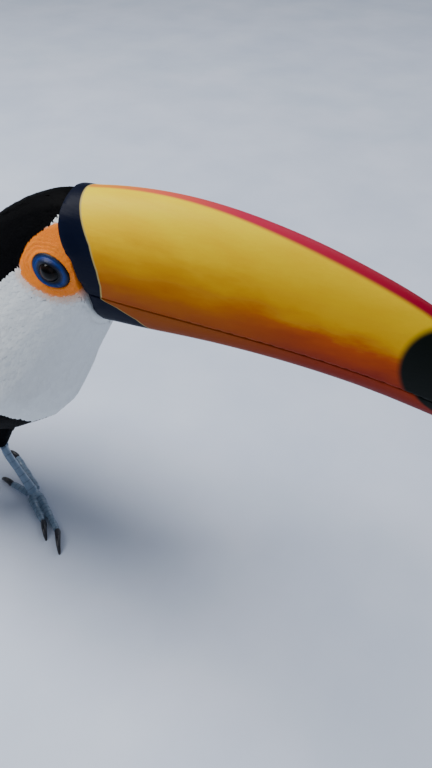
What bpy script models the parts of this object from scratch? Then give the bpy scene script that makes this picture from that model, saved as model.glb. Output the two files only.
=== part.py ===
"""Toco toucan, life size, standing on a floor with its head turned a little to its left.

Lengths below are millimetres and angles are degrees; meshes are written in metres.
X runs forward along the bird, Y to its left and Z up, and the floor is Z = 0.
The bird is first modelled looking straight ahead, then its neck is turned.
"""

import math

import bmesh
import bpy
import numpy as np
from mathutils import Matrix, Vector

MM = 0.001
GAP = 0.3                     # left between neighbouring solids

# ---- Driving dimensions --------------------------------------------------------------------
BILL_LENGTH = 188.0           # base to tip, in a straight line
BILL_BASE = (127.0, 260.0)    # x and z of the middle of the bill's root
BILL_ROOT_SLANT = 6.0         # the root's top is that far behind its middle
LOWER_BILL_SHARE = 0.935      # the lower bill's length as a share of the upper's
HEAD_TURN = 12.0              # to the bird's left
NECK_PIVOT_X = 52.0           # the neck turns about an upright line here
NECK_TURN_FROM = (52.0, 165.0)   # x and z where the turn starts
NECK_TURN_TO = (84.0, 236.0)     # x and z from where the head turns as one piece
EYE_PLACE = (114.2, 18.6, 259.5)
EYE_RADIUS = 5.5
RING_RADII = (9.7, 4.7, 7.2)   # the blue skin ring: along, outward and up
RING_SLANT = 14.0             # its front end is lower
# The bare face skin's edge seen from the side, round from its lowest point at the back.
FACE_OUTLINE = ((97.2, 253.6), (97.0, 259.5), (100.6, 267.6), (105.6, 272.6), (110.8, 276.4),
                (115.4, 279.4), (120.6, 280.2), (127.0, 277.0), (131.5, 270.0), (132.5, 262.0),
                (130.8, 254.6), (126.2, 249.6), (119.6, 247.1), (112.8, 246.8), (106.0, 248.8),
                (100.6, 250.8))
FACE_DEPTH = 11.0             # how far from the mid plane the bare face skin starts
TAIL_ROOT = (-102.0, 0.0, 111.0)
TAIL_LENGTH = 146.0
TAIL_DROOP = 17.0
TAIL_FEATHER_WIDTH = 29.0
TAIL_FEATHER_THICK = 0.8
TAIL_FAN = 1.7                # between neighbouring feathers
SHANK_RADIUS = 3.1
ANKLE_HEIGHT = 50.0
TOE_ROOT_HEIGHT = 7.5
TOE_RADIUS = 3.1

# Stations of the body from the bill's root to the tail's root: the back line's x and z, the
# belly line's x and z, half the width, and how much narrower the back is than the belly.
BODY_STATIONS = {
    "bill root": (120.5, 289.2, 132.7, 229.0, 20.3, 0.09),
    "lores": (112.0, 288.6, 127.5, 219.5, 21.4, 0.15),
    "eyes": (101.5, 285.2, 122.0, 209.0, 22.8, 0.19),
    "crown": (86.5, 277.8, 115.0, 194.5, 25.2, 0.23),
    "nape": (68.0, 265.0, 108.0, 176.6, 29.5, 0.23),
    "neck": (47.5, 248.2, 101.2, 160.4, 36.3, 0.20),
    "shoulders": (26.0, 227.5, 80.6, 147.4, 41.5, 0.12),
    "breast": (0.0, 205.5, 51.0, 132.0, 45.3, 0.02),
    "back": (-30.0, 183.5, 21.0, 113.0, 46.0, -0.04),
    "belly": (-60.0, 161.5, -9.0, 98.0, 42.5, -0.06),
    "flank": (-84.0, 143.0, -39.0, 91.0, 35.0, -0.05),
    "rump": (-103.0, 127.5, -68.0, 93.0, 25.0, 0.0),
    "tail root": (-117.0, 116.5, -95.0, 98.5, 14.0, 0.0),
}
BODY_RINGS = 27
BODY_SIDES = 20

# Where the white throat and bib end, seen from the side, from the bill's root over the cheek.
BIB_OUTLINE = ((155.0, 284.5), (122.0, 284.3), (113.5, 278.5), (106.0, 270.0), (100.5, 261.0),
               (94.2, 254.3), (86.2, 246.9), (79.0, 232.0), (72.0, 209.0), (70.0, 190.0),
               (75.5, 179.0), (86.5, 172.0), (99.0, 164.0), (155.0, 135.0))
NECK_CUT = ((12.0, 240.0), (70.0, 196.0))       # between nape and trunk, as two x, z points
RUMP_CUT = ((-88.0, 160.0), (-64.0, 70.0))      # between trunk and rump
VENT_CUT = ((-130.0, 107.0), (-60.0, 116.0))    # between white upper and red under tail coverts

# Stations of the folded wing from its bend to the tip of the primaries: the middle's x, y and
# z, half the depth, how far its edges wrap round the body, and half the thickness.
WING_STATIONS = {
    "bend": (56.0, 37.5, 182.5, 8.0, 1.0, 3.0),
    "shoulder": (45.0, 42.0, 178.0, 21.0, 4.5, 4.6),
    "lesser coverts": (20.0, 46.5, 168.0, 30.0, 8.5, 5.8),
    "greater coverts": (-13.0, 47.5, 152.0, 34.0, 10.5, 6.2),
    "secondaries": (-48.0, 43.5, 136.0, 32.0, 10.0, 5.6),
    "tertial ends": (-82.0, 35.0, 124.5, 25.0, 8.0, 4.4),
    "primaries": (-118.0, 26.0, 114.5, 16.0, 5.0, 3.2),
    "outer primaries": (-148.0, 19.5, 106.5, 9.0, 2.5, 2.2),
    "tip": (-169.0, 15.5, 100.5, 3.5, 0.8, 1.2),
}
WING_RINGS = 17
WING_SIDES = 12
WING_LEAN = 10.0              # the top edge leans in

# Stations of the bill from root to tip: share of the length, then the heights of the culmen,
# the cutting edge and the under side above the root's middle, and half the width.
BILL_STATIONS = {
    "root": (0.0, 31.0, -9.5, -30.5, 20.6),
    "nostril": (0.12, 34.6, -11.0, -30.0, 20.2),
    "deepest": (0.28, 35.0, -13.0, -28.0, 18.4),
    "middle": (0.48, 28.9, -16.5, -29.0, 15.3),
    "fore part": (0.66, 18.9, -21.5, -33.0, 12.2),
    "spot": (0.80, 7.8, -27.5, -38.8, 9.6),
    "hook": (0.91, -7.5, -34.5, -43.5, 7.2),
    "tip": (1.0, -36.0, -44.5, -46.5, 2.0),
}
UPPER_BILL_RINGS = 18
LOWER_BILL_RINGS = 13
UPPER_EDGE_SHARE = 0.90       # width at the cutting edge as a share of the full width
LOWER_WIDTH_SHARE = 0.86

# Each leg: toe root x and y, the ankle's and the knee's x and y, and the way the foot points.
LEGS = {
    "left": {"toe_root": (9.6, 25.4), "ankle": (-13.6, 23.4), "knee": (10.0, 28.0), "points": -24.5},
    "right": {"toe_root": (-36.0, -31.0), "ankle": (-54.0, -29.0), "knee": (-16.0, -28.5), "points": 2.0},
}
KNEE_HEIGHT = 112.0
THIGH_RADII = (13.0, 20.0, 17.0, 12.0, 9.0, 7.4)
# Each toe: the angle from the foot's own direction (outward positive), its length, how far
# out from the foot's middle it starts, its number of joints, its claw's length, and the angle
# that the claw turns outward from the toe.
TOES = {
    "toe3": (0.0, 41.0, 3.4, 3, 21.5, -18.0),
    "toe4": (182.5, 43.0, 4.0, 3, 12.5, 20.0),
    "toe2": (0.0, 28.0, -2.8, 2, 17.0, -14.0),
    "toe1": (-154.0, 20.0, -1.6, 2, 12.0, 0.0),
}

MATERIALS = {
    "black_plumage": ((0.012, 0.012, 0.016), 0.62),
    "white_plumage": ((0.80, 0.80, 0.74), 0.75),
    "red_plumage": ((0.50, 0.03, 0.02), 0.70),
    "face_skin": ((0.90, 0.33, 0.05), 0.50),
    "eye_ring_skin": ((0.02, 0.08, 0.42), 0.45),
    "eye": ((0.012, 0.010, 0.010), 0.08),
    "bill_horn": ((0.88, 0.50, 0.06), 0.35),
    "lower_bill_horn": ((0.55, 0.14, 0.05), 0.35),
    "leg_scales": ((0.16, 0.26, 0.36), 0.45),
    "claw_horn": ((0.02, 0.02, 0.03), 0.35),
}


# ---- Shared tools --------------------------------------------------------------------------
def clear_scene():
    for obj in list(bpy.data.objects):
        bpy.data.objects.remove(obj)


def material(name):
    found = bpy.data.materials.get(name)
    if found:
        return found
    colour, roughness = MATERIALS[name]
    made = bpy.data.materials.new(name)
    made.use_nodes = True
    shader = made.node_tree.nodes["Principled BSDF"]
    shader.inputs["Base Color"].default_value = (*colour, 1.0)
    shader.inputs["Roughness"].default_value = roughness
    shader.inputs["Metallic"].default_value = 0.0
    return made


def smooth_step(share):
    share = min(max(share, 0.0), 1.0)
    return share * share * (3.0 - 2.0 * share)


def through(rows, count):
    """count rows read evenly from a smooth curve through the given rows."""
    table = np.array(rows, float)
    ends = np.vstack([2 * table[0] - table[1], table, 2 * table[-1] - table[-2]])
    read = []
    for place in np.linspace(0.0, len(table) - 1.0, count):
        i = min(int(place), len(table) - 2)
        t = place - i
        before, start, end, after = ends[i:i + 4]
        read.append(0.5 * (2 * start + (end - before) * t
                           + (2 * before - 5 * start + 4 * end - after) * t ** 2
                           + (3 * start - before - 3 * end + after) * t ** 3))
    return read


def turned(point):
    """Turns a point with the head, about the neck's upright line, easing in along the neck."""
    x, y, z = point
    start, end = Vector(NECK_TURN_FROM), Vector(NECK_TURN_TO)
    share = (Vector((x, z)) - start).dot(end - start) / (end - start).length_squared
    angle, arm = math.radians(HEAD_TURN) * smooth_step(share), x - NECK_PIVOT_X
    return Vector((NECK_PIVOT_X + arm * math.cos(angle) - y * math.sin(angle),
                   arm * math.sin(angle) + y * math.cos(angle), z))


def mesh_object(name, points, faces, slot):
    mesh = bpy.data.meshes.new(name)
    mesh.from_pydata([turned(p) * MM for p in points], [], faces)
    obj = bpy.data.objects.new(name, mesh)
    bpy.context.scene.collection.objects.link(obj)
    mesh.materials.append(material(slot))
    face_outwards(obj)
    return obj


def face_outwards(obj):
    work = bmesh.new()
    work.from_mesh(obj.data)
    bmesh.ops.recalc_face_normals(work, faces=work.faces)
    if work.calc_volume(signed=True) < 0:
        bmesh.ops.reverse_faces(work, faces=work.faces)
    work.to_mesh(obj.data)
    work.free()


def loft(name, rings, slot):
    """A closed solid through rings of equal point count, with flat ends."""
    sides = len(rings[0])
    points = [p for ring in rings for p in ring]
    faces = []
    for i in range(len(rings) - 1):
        for j in range(sides):
            k = (j + 1) % sides
            faces.append((i * sides + j, i * sides + k, (i + 1) * sides + k, (i + 1) * sides + j))
    faces.append(tuple(reversed(range(sides))))
    faces.append(tuple((len(rings) - 1) * sides + j for j in range(sides)))
    return mesh_object(name, points, faces, slot)


def tube(name, path, radii, slot, sides=10, flatten=1.0, blunt=0.45):
    """A closed round limb along a path, with domed ends. flatten scales its width."""
    path = [Vector(p) for p in path]
    ahead = (path[1] - path[0]).normalized()
    behind = (path[-1] - path[-2]).normalized()
    path = [path[0] - ahead * radii[0] * blunt] + path + [path[-1] + behind * radii[-1] * blunt]
    radii = [radii[0] * 0.5] + list(radii) + [radii[-1] * 0.5]
    side = None
    rings = []
    for i, centre in enumerate(path):
        along = (path[min(i + 1, len(path) - 1)] - path[max(i - 1, 0)]).normalized()
        guide = side or Vector((-along.y, along.x, 0.0))
        if guide.length < 1e-6:
            guide = Vector((0.0, 1.0, 0.0))
        side = (guide - along * guide.dot(along)).normalized()
        up = along.cross(side)
        turn = [math.tau * k / sides for k in range(sides)]
        rings.append([centre + side * (radii[i] * flatten * math.cos(a)) + up * (radii[i] * math.sin(a))
                      for a in turn])
    return loft(name, rings, slot)


def ellipsoid(name, centre, radii, slot, segments=12, rings=8, slant=0.0):
    work = bmesh.new()
    bmesh.ops.create_uvsphere(work, u_segments=segments, v_segments=rings, radius=1.0)
    mesh = bpy.data.meshes.new(name)
    work.to_mesh(mesh)
    work.free()
    # The poles face sideways, so that the rings of faces run round the eye's own axis.
    place = (Matrix.Translation(Vector(centre) * MM) @ Matrix.Rotation(math.radians(slant), 4, "Y")
             @ Matrix.Diagonal((*(Vector(radii) * MM), 1.0)) @ Matrix.Rotation(math.pi / 2, 4, "X"))
    mesh.transform(place)
    for vertex in mesh.vertices:
        vertex.co = turned(vertex.co / MM) * MM
    obj = bpy.data.objects.new(name, mesh)
    bpy.context.scene.collection.objects.link(obj)
    mesh.materials.append(material(slot))
    face_outwards(obj)
    return obj


def prism(name, outline, low_y, high_y):
    """A cutter: an outline in x and z, pushed from low_y to high_y and turned with the neck."""
    rings = [[(x, y, z) for x, z in outline] for y in np.linspace(low_y, high_y, 5)]
    obj = loft(name, rings, "black_plumage")
    work = bmesh.new()
    work.from_mesh(obj.data)
    bmesh.ops.triangulate(work, faces=work.faces, quad_method="FIXED")
    work.to_mesh(obj.data)
    work.free()
    return obj


def copy_of(obj, name, slot=None):
    made = bpy.data.objects.new(name, obj.data.copy())
    bpy.context.scene.collection.objects.link(made)
    if slot:
        made.data.materials.clear()
        made.data.materials.append(material(slot))
    return made


def remove(*objs):
    for obj in objs:
        bpy.data.objects.remove(obj)


def combine(target, other, operation):
    """Applies a Boolean of other to target. operation is DIFFERENCE, INTERSECT or UNION."""
    modifier = target.modifiers.new("cut", "BOOLEAN")
    modifier.operation = operation
    modifier.object = other
    bpy.context.view_layer.update()
    evaluated = target.evaluated_get(bpy.context.evaluated_depsgraph_get())
    result = bpy.data.meshes.new_from_object(evaluated)
    target.modifiers.remove(modifier)
    slots = list(target.data.materials)
    target.data = result
    result.materials.clear()
    for slot in slots[:1]:
        result.materials.append(slot)
    result.polygons.foreach_set("material_index", [0] * len(result.polygons))
    return target


def swollen(obj, name, by):
    """A copy whose surface stands out by that many millimetres, to cut a clearance with."""
    made = copy_of(obj, name)
    normals = [v.normal.copy() for v in made.data.vertices]
    for vertex, normal in zip(made.data.vertices, normals):
        vertex.co += normal * by * MM
    return made


def keep_side(obj, cut, front, gap=GAP):
    """Cuts obj with the upright plane through two x, z points, and keeps the side ahead of
    it, or the one behind, set back by half the gap."""
    (x0, z0), (x1, z1) = cut
    along = Vector((x1 - x0, 0.0, z1 - z0)).normalized()
    normal = Vector((-along.z, 0.0, along.x)) if along.z < 0 else Vector((along.z, 0.0, -along.x))
    if not front:
        normal = -normal
    where = Vector((x0, 0.0, z0)) + normal * gap / 2
    work = bmesh.new()
    work.from_mesh(obj.data)
    geometry = work.verts[:] + work.edges[:] + work.faces[:]
    made = bmesh.ops.bisect_plane(work, geom=geometry, plane_co=where * MM, plane_no=normal,
                                  clear_inner=True)
    rim = [e for e in made["geom_cut"] if isinstance(e, bmesh.types.BMEdge)]
    bmesh.ops.holes_fill(work, edges=rim, sides=0)
    work.to_mesh(obj.data)
    work.free()
    return obj


def stand_on_floor(obj):
    """Cuts off whatever is below the floor, which leaves small flats at one level."""
    work = bmesh.new()
    work.from_mesh(obj.data)
    geometry = work.verts[:] + work.edges[:] + work.faces[:]
    made = bmesh.ops.bisect_plane(work, geom=geometry, plane_co=(0, 0, 0), plane_no=(0, 0, 1),
                                  clear_inner=True)
    rim = [e for e in made["geom_cut"] if isinstance(e, bmesh.types.BMEdge)]
    bmesh.ops.holes_fill(work, edges=rim, sides=0)
    work.to_mesh(obj.data)
    work.free()
    return obj


def rounded(obj, sharp_above=40.0):
    obj.data.shade_smooth()
    obj.data.set_sharp_from_angle(angle=math.radians(sharp_above))
    return obj


# ---- The body in one piece, and its parts ----------------------------------------------------
def whole_body():
    rings = []
    for back_x, back_z, belly_x, belly_z, half_width, taper in through(
            list(BODY_STATIONS.values()), BODY_RINGS):
        back, belly = Vector((back_x, 0.0, back_z)), Vector((belly_x, 0.0, belly_z))
        middle, up = (back + belly) / 2, (back - belly) / 2
        ring = []
        for k in range(BODY_SIDES):
            angle = math.tau * (k + 0.5) / BODY_SIDES
            height = math.sin(angle)
            width = half_width * math.copysign(abs(math.cos(angle)) ** 0.92, math.cos(angle))
            ring.append(middle + up * height + Vector((0.0, width * (1.0 - taper * height), 0.0)))
        rings.append(ring)
    return loft("whole_body", rings, "black_plumage")


def bib_cutter(name, gap):
    """The bib's outline pushed through the body, moved out of the bib by gap."""
    edge = [Vector(row) for row in through(BIB_OUTLINE, 20)]
    outline = []
    for i, place in enumerate(edge):
        along = (edge[min(i + 1, len(edge) - 1)] - edge[max(i - 1, 0)]).normalized()
        outline.append(place + Vector((along.y, -along.x)) * gap)
    return prism(name, outline, -90.0, 90.0)


def face_cutter(name, side, grow):
    """A plug of the bare face's outline through the cheek, from inside the head outwards."""
    edge = [Vector(row) for row in FACE_OUTLINE]
    outline = []
    for i, place in enumerate(edge):
        along = (edge[(i + 1) % len(edge)] - edge[i - 1]).normalized()
        outline.append(place + Vector((-along.y, along.x)) * grow)
    inner, outer = FACE_DEPTH - grow, 60.0
    return prism(name, outline, *sorted((side * inner, side * outer)))


def build_face(side, label, head_solids, body):
    """Bare face skin, the blue ring round the eye, and the eye, each in its own socket."""
    plug = face_cutter("plug", side, 0.0)
    socket = face_cutter("socket", side, GAP)
    place = Vector((EYE_PLACE[0], side * EYE_PLACE[1], EYE_PLACE[2]))
    face = combine(copy_of(body, f"face_skin_{label}", "face_skin"), plug, "INTERSECT")
    ring = ellipsoid(f"eye_ring_{label}", place, RING_RADII, "eye_ring_skin", slant=RING_SLANT)
    eye = ellipsoid(f"eye_{label}", place, (EYE_RADIUS,) * 3, "eye")
    ring_socket, eye_socket = swollen(ring, "ring_socket", GAP), swollen(eye, "eye_socket", GAP)
    combine(face, ring_socket, "DIFFERENCE")
    combine(face, eye_socket, "DIFFERENCE")
    combine(ring, eye_socket, "DIFFERENCE")
    for solid in head_solids:
        combine(solid, socket, "DIFFERENCE")
    remove(plug, socket, ring_socket, eye_socket)
    return [face, ring, eye]


def build_head_and_trunk(body):
    nape = combine(copy_of(body, "crown_and_nape"), bib_cutter("bib_cut", GAP), "DIFFERENCE")
    trunk = copy_of(nape, "trunk")
    bib = combine(copy_of(body, "throat_and_bib", "white_plumage"), bib_cutter("bib_keep", 0.0), "INTERSECT")
    keep_side(nape, NECK_CUT, front=True)
    keep_side(trunk, NECK_CUT, front=False)
    rump = copy_of(trunk, "tail_coverts_upper", "white_plumage")
    keep_side(trunk, RUMP_CUT, front=True)
    keep_side(rump, RUMP_CUT, front=False)
    vent = copy_of(rump, "tail_coverts_under", "red_plumage")
    split_level(rump, vent)
    remove(bpy.data.objects["bib_cut"], bpy.data.objects["bib_keep"])
    return nape, bib, trunk, rump, vent


def split_level(upper, lower):
    """Parts the two tail coverts along the line that the tail's feathers leave by."""
    (x0, z0), (x1, z1) = VENT_CUT
    outline = [(x0 - 80, z0), (x0, z0), (x1, z1), (x1 + 80, z1), (x1 + 80, z1 + 120), (x0 - 80, z0 + 120)]
    keep = prism("above", outline, -90.0, 90.0)
    cut = prism("above_gap", [(x, z - GAP) for x, z in outline], -90.0, 90.0)
    combine(upper, keep, "INTERSECT")
    combine(lower, cut, "DIFFERENCE")
    remove(keep, cut)


# ---- Bill --------------------------------------------------------------------------------
def bill_rows(last_share, count):
    """Rows of share, culmen, edge, under side and half width, closer together near the tip."""
    table = through(list(BILL_STATIONS.values()), 161)
    shares = [row[0] for row in table]
    rows = []
    for k in range(count):
        share = last_share * (1.0 - (1.0 - k / (count - 1)) ** 1.35)
        rows.append([float(np.interp(share, shares, [row[c] for row in table])) for c in range(5)])
    return rows


def at_bill(share, y, z):
    slant = BILL_ROOT_SLANT * z / 32.0 * max(1.0 - share / 0.35, 0.0)
    return Vector((BILL_BASE[0] + GAP + share * BILL_LENGTH - slant, y, BILL_BASE[1] + z))


def build_bill():
    upper, lower = [], []
    for share, culmen, edge, _, half in bill_rows(1.0, UPPER_BILL_RINGS):
        widest = edge + 0.34 * (culmen - edge)
        side = []
        for k in range(7):
            angle = math.radians(90.0 - 90.0 * k / 6)
            across, up = math.cos(angle) ** 1.04, math.sin(angle) ** 0.98
            side.append((half * across, widest + (culmen - widest) * up))
        side.append((half * 0.97, edge + 0.45 * (widest - edge)))
        side.append((half * UPPER_EDGE_SHARE, edge))
        upper.append([at_bill(share, y, z) for y, z in side]
                     + [at_bill(share, -y, z) for y, z in reversed(side[1:])])
    for share, culmen, edge, under, half in bill_rows(LOWER_BILL_SHARE, LOWER_BILL_RINGS):
        top, wide = edge - GAP, half * LOWER_WIDTH_SHARE
        side = [(0.0, top), (wide * 0.55, top), (wide, top)]
        for k in range(1, 6):
            angle = math.radians(90.0 * k / 5)
            side.append((wide * math.cos(angle) ** 0.8, top - (top - under) * math.sin(angle) ** 0.9))
        side[-1] = (0.0, under)
        lower.append([at_bill(share, y, z) for y, z in side]
                     + [at_bill(share, -y, z) for y, z in reversed(side[1:-1])])
    return [loft("bill_upper", upper, "bill_horn"), loft("bill_lower", lower, "lower_bill_horn")]


# ---- Wings and tail --------------------------------------------------------------------------
def build_wing(side, label):
    rings = []
    lean = math.radians(WING_LEAN)
    for x, y, z, half_depth, wrap, half_thick in through(list(WING_STATIONS.values()), WING_RINGS):
        ring = []
        for k in range(WING_SIDES):
            angle = math.tau * k / WING_SIDES
            across = math.cos(angle)
            out = half_thick * math.sin(angle) - wrap * across ** 2 - half_depth * across * math.sin(lean)
            ring.append((x, side * (y + out), z + half_depth * across * math.cos(lean)))
        rings.append(ring)
    return loft(f"wing_{label}", rings, "black_plumage")


def build_tail():
    """Ten feathers in a fan. The middle pair lies on top and each next one lies under it."""
    feathers = []
    root, droop = Vector(TAIL_ROOT), math.radians(TAIL_DROOP)
    back = Vector((-math.cos(droop), 0.0, -math.sin(droop)))
    up = Vector((-math.sin(droop), 0.0, math.cos(droop)))
    layer = TAIL_FEATHER_THICK + GAP
    for side, label in ((1, "left"), (-1, "right")):
        for place in range(5):
            fan = math.radians(side * TAIL_FAN * (place + 0.5))
            along = back * math.cos(fan) + Vector((0.0, math.sin(fan), 0.0))
            across = Vector((0.0, math.cos(fan), 0.0)) - back * math.sin(fan)
            length = TAIL_LENGTH - 3.0 * place ** 1.3
            level = root - up * layer * (2 * place + (side < 0))
            rings = []
            for k in range(7):
                share = k / 6
                half = TAIL_FEATHER_WIDTH / 2 * (0.42 + 0.58 * smooth_step(share * 2.2))
                half *= math.sqrt(max(1.0 - max(share - 0.84, 0.0) ** 2 / 0.0262, 0.02))
                middle = level + along * (length * share) + Vector((0.0, side * 1.6 * place, 0.0))
                thick = TAIL_FEATHER_THICK / 2 * (1.0 - 0.35 * share)
                rings.append([middle + across * half, middle + up * thick,
                              middle - across * half, middle - up * thick])
            feathers.append(loft(f"tail_feather_{label}_{place + 1}", rings, "black_plumage"))
    return feathers


# ---- Legs --------------------------------------------------------------------------------
def build_leg(side, label):
    leg = LEGS[label]
    knee = Vector((*leg["knee"], KNEE_HEIGHT))
    ankle = Vector((*leg["ankle"], ANKLE_HEIGHT))
    root = Vector((*leg["toe_root"], TOE_ROOT_HEIGHT))
    thigh_path = [knee.lerp(ankle, s) for s in (-0.35, -0.05, 0.25, 0.52, 0.78, 1.0)]
    thigh = tube(f"thigh_{label}", thigh_path, THIGH_RADII, "black_plumage", sides=12, blunt=0.3)
    shank_path = [ankle.lerp(root, s) for s in (-0.06, 0.08, 0.3, 0.6, 0.85, 1.0)]
    swell = (1.3, 1.25, 0.98, 0.92, 1.1, 1.3)
    shank = tube(f"shank_{label}", shank_path, [SHANK_RADIUS * s for s in swell], "leg_scales", blunt=0.35)
    combine(shank, swollen(thigh, "thigh_socket", GAP), "DIFFERENCE")
    remove(bpy.data.objects["thigh_socket"])
    made, taken = [thigh], [stand_on_floor(shank)]
    for name, (angle, length, offset, joints, claw_length, claw_turn) in TOES.items():
        heading = math.radians(leg["points"] + side * angle)
        foot = math.radians(leg["points"])
        start = root + Vector((-math.sin(foot), math.cos(foot), 0.0)) * offset * side
        claw_heading = heading + side * math.radians(claw_turn)
        taken += build_toe(f"{name}_{label}", start, heading, length, joints, claw_heading, claw_length, taken)
    return made + taken


def build_toe(name, start, heading, length, joints, claw_heading, claw_length, taken):
    """A toe of padded joints and its claw, resting on the floor and clear of what is taken."""
    along = Vector((math.cos(heading), math.sin(heading), 0.0))
    path, radii = [], []
    for k in range(2 * joints + 1):
        share = k / (2 * joints)
        radius = TOE_RADIUS * (1.0 - 0.22 * share) * (1.0 if k % 2 else 0.88)
        reach = 3.5 + (length - 3.5) * share
        path.append(Vector((start.x, start.y, radius * 0.94)) + along * reach)
        radii.append(radius)
    toe = tube(name, path, radii, "leg_scales", sides=8, flatten=1.08, blunt=0.4)
    stand_on_floor(toe)
    place = path[-1] + along * (radii[-1] * 0.4 + 1.0)
    along = Vector((math.cos(claw_heading), math.sin(claw_heading), 0.0))
    claw_path, claw_radii = [], []
    for k in range(6):
        share = k / 5
        claw_path.append(place.copy())
        claw_radii.append(2.35 * (1.0 - share) ** 0.6 + 0.6)
        bend = math.radians(20.0 - 88.0 * share)
        place = place + (along * math.cos(bend) + Vector((0, 0, math.sin(bend)))) * claw_length / 5
    lift = 0.1 - claw_path[-1].z
    claw_path = [p + Vector((0, 0, lift * (k / 5) ** 1.5)) for k, p in enumerate(claw_path)]
    claw_name = name.replace("toe", "claw")
    claw = tube(claw_name, claw_path, claw_radii, "claw_horn", sides=6, flatten=0.78, blunt=0.3)
    stand_on_floor(claw)
    for solid in taken:
        room = swollen(solid, "taken_room", GAP)
        combine(toe, room, "DIFFERENCE")
        combine(claw, room, "DIFFERENCE")
        remove(room)
    room = swollen(toe, "toe_room", GAP)
    combine(claw, room, "DIFFERENCE")
    remove(room)
    return [toe, claw]


# ---- Place --------------------------------------------------------------------------
def centre_on_origin(objs):
    """Puts the origin on the floor, under the middle of the whole bird's box."""
    corners = np.array([v.co[:] for obj in objs for v in obj.data.vertices])
    low, high = corners.min(0), corners.max(0)
    shift = Vector((-(low[0] + high[0]) / 2, -(low[1] + high[1]) / 2, -low[2]))
    for obj in objs:
        obj.data.transform(Matrix.Translation(shift))
    print("moved to the origin by", [round(1000 * s, 2) for s in shift])


def main():
    clear_scene()
    body = whole_body()
    nape, bib, trunk, rump, vent = build_head_and_trunk(body)
    head = [nape, bib]
    for side, label in ((1, "left"), (-1, "right")):
        head += build_face(side, label, (nape, bib), body)
    head += build_bill()
    wings = [build_wing(1, "left"), build_wing(-1, "right")]
    tail = build_tail()
    legs = build_leg(1, "left") + build_leg(-1, "right")
    thighs = [solid for solid in legs if solid.name.startswith("thigh")]
    for wing in wings:
        room = swollen(wing, "wing_room", GAP * 1.5)
        for solid in (nape, bib, trunk, rump, vent, *thighs):
            combine(solid, room, "DIFFERENCE")
        remove(room)
    body_room = swollen(body, "body_room", GAP)
    for thigh in thighs:
        combine(thigh, body_room, "DIFFERENCE")
    for feather in tail:
        room = swollen(feather, "feather_room", GAP)
        for solid in (rump, vent, trunk):
            combine(solid, room, "DIFFERENCE")
        remove(room)
    remove(body_room, body)
    everything = head + [trunk, rump, vent] + wings + tail + legs
    for obj in everything:
        rounded(obj)
    centre_on_origin(everything)


main()
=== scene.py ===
"""Toco toucan, life size: skin, plumage, bill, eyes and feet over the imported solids.

Sizes in this file are millimetres unless a name ends in _M, and meshes are written in metres.
"Straight" points are those of the bird looking straight ahead, before its neck turns.
"""

import math

import bpy
import numpy as np
from bpy.props import FloatProperty, IntProperty, PointerProperty, StringProperty
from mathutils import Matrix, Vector
from mathutils.bvhtree import BVHTree


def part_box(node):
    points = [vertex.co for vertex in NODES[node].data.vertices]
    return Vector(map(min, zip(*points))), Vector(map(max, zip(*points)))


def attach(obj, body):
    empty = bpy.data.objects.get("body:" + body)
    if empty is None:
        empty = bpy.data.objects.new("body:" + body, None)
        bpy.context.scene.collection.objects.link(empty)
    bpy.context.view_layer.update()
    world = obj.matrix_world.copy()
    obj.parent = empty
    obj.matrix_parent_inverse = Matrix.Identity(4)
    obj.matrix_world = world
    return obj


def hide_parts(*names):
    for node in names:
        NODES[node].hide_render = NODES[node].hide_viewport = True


bl_info = {
    "name": "Toco toucan finish",
    "version": (1, 0, 0),
    "blender": (4, 5, 0),
    "location": "3D View > Sidebar > Toucan",
    "description": "Skin, plumage, bill, eyes and feet over the toco toucan's solids",
    "category": "Object",
}

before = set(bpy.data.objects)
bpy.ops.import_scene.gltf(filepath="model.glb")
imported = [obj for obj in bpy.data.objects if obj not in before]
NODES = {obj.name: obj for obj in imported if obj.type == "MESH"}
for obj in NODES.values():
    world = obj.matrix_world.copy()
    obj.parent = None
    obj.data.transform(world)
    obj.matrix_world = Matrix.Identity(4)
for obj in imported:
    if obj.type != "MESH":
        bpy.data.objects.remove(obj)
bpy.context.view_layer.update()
MM = 0.001


# ---- The bird's own measures, the same as its solids have --------------------------------------
HEAD_TURN = 12.0
NECK_PIVOT = np.array((52.0, 0.0, 0.0))
NECK_TURN_FROM = np.array((52.0, 165.0))
NECK_TURN_TO = np.array((84.0, 236.0))
# Back line x and z, belly line x and z, from the bill's root to the tail's root.
BODY_LINES = (
    (120.5, 289.2, 132.7, 229.0), (112.0, 288.6, 127.5, 219.5), (101.5, 285.2, 122.0, 209.0),
    (86.5, 277.8, 115.0, 194.5), (68.0, 265.0, 108.0, 176.6), (47.5, 248.2, 101.2, 160.4),
    (26.0, 227.5, 80.6, 147.4), (0.0, 205.5, 51.0, 132.0), (-30.0, 183.5, 21.0, 113.0),
    (-60.0, 161.5, -9.0, 98.0), (-84.0, 143.0, -39.0, 91.0), (-103.0, 127.5, -68.0, 93.0),
    (-117.0, 116.5, -95.0, 98.5))
BODY_HALF_WIDTH = 40.0
BIB_OUTLINE = ((155.0, 284.5), (122.0, 284.3), (113.5, 278.5), (106.0, 270.0), (100.5, 261.0),
               (94.2, 254.3), (86.2, 246.9), (79.0, 232.0), (72.0, 209.0), (70.0, 190.0),
               (75.5, 180.8), (86.5, 174.6), (98.0, 162.5), (155.0, 120.0))
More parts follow.
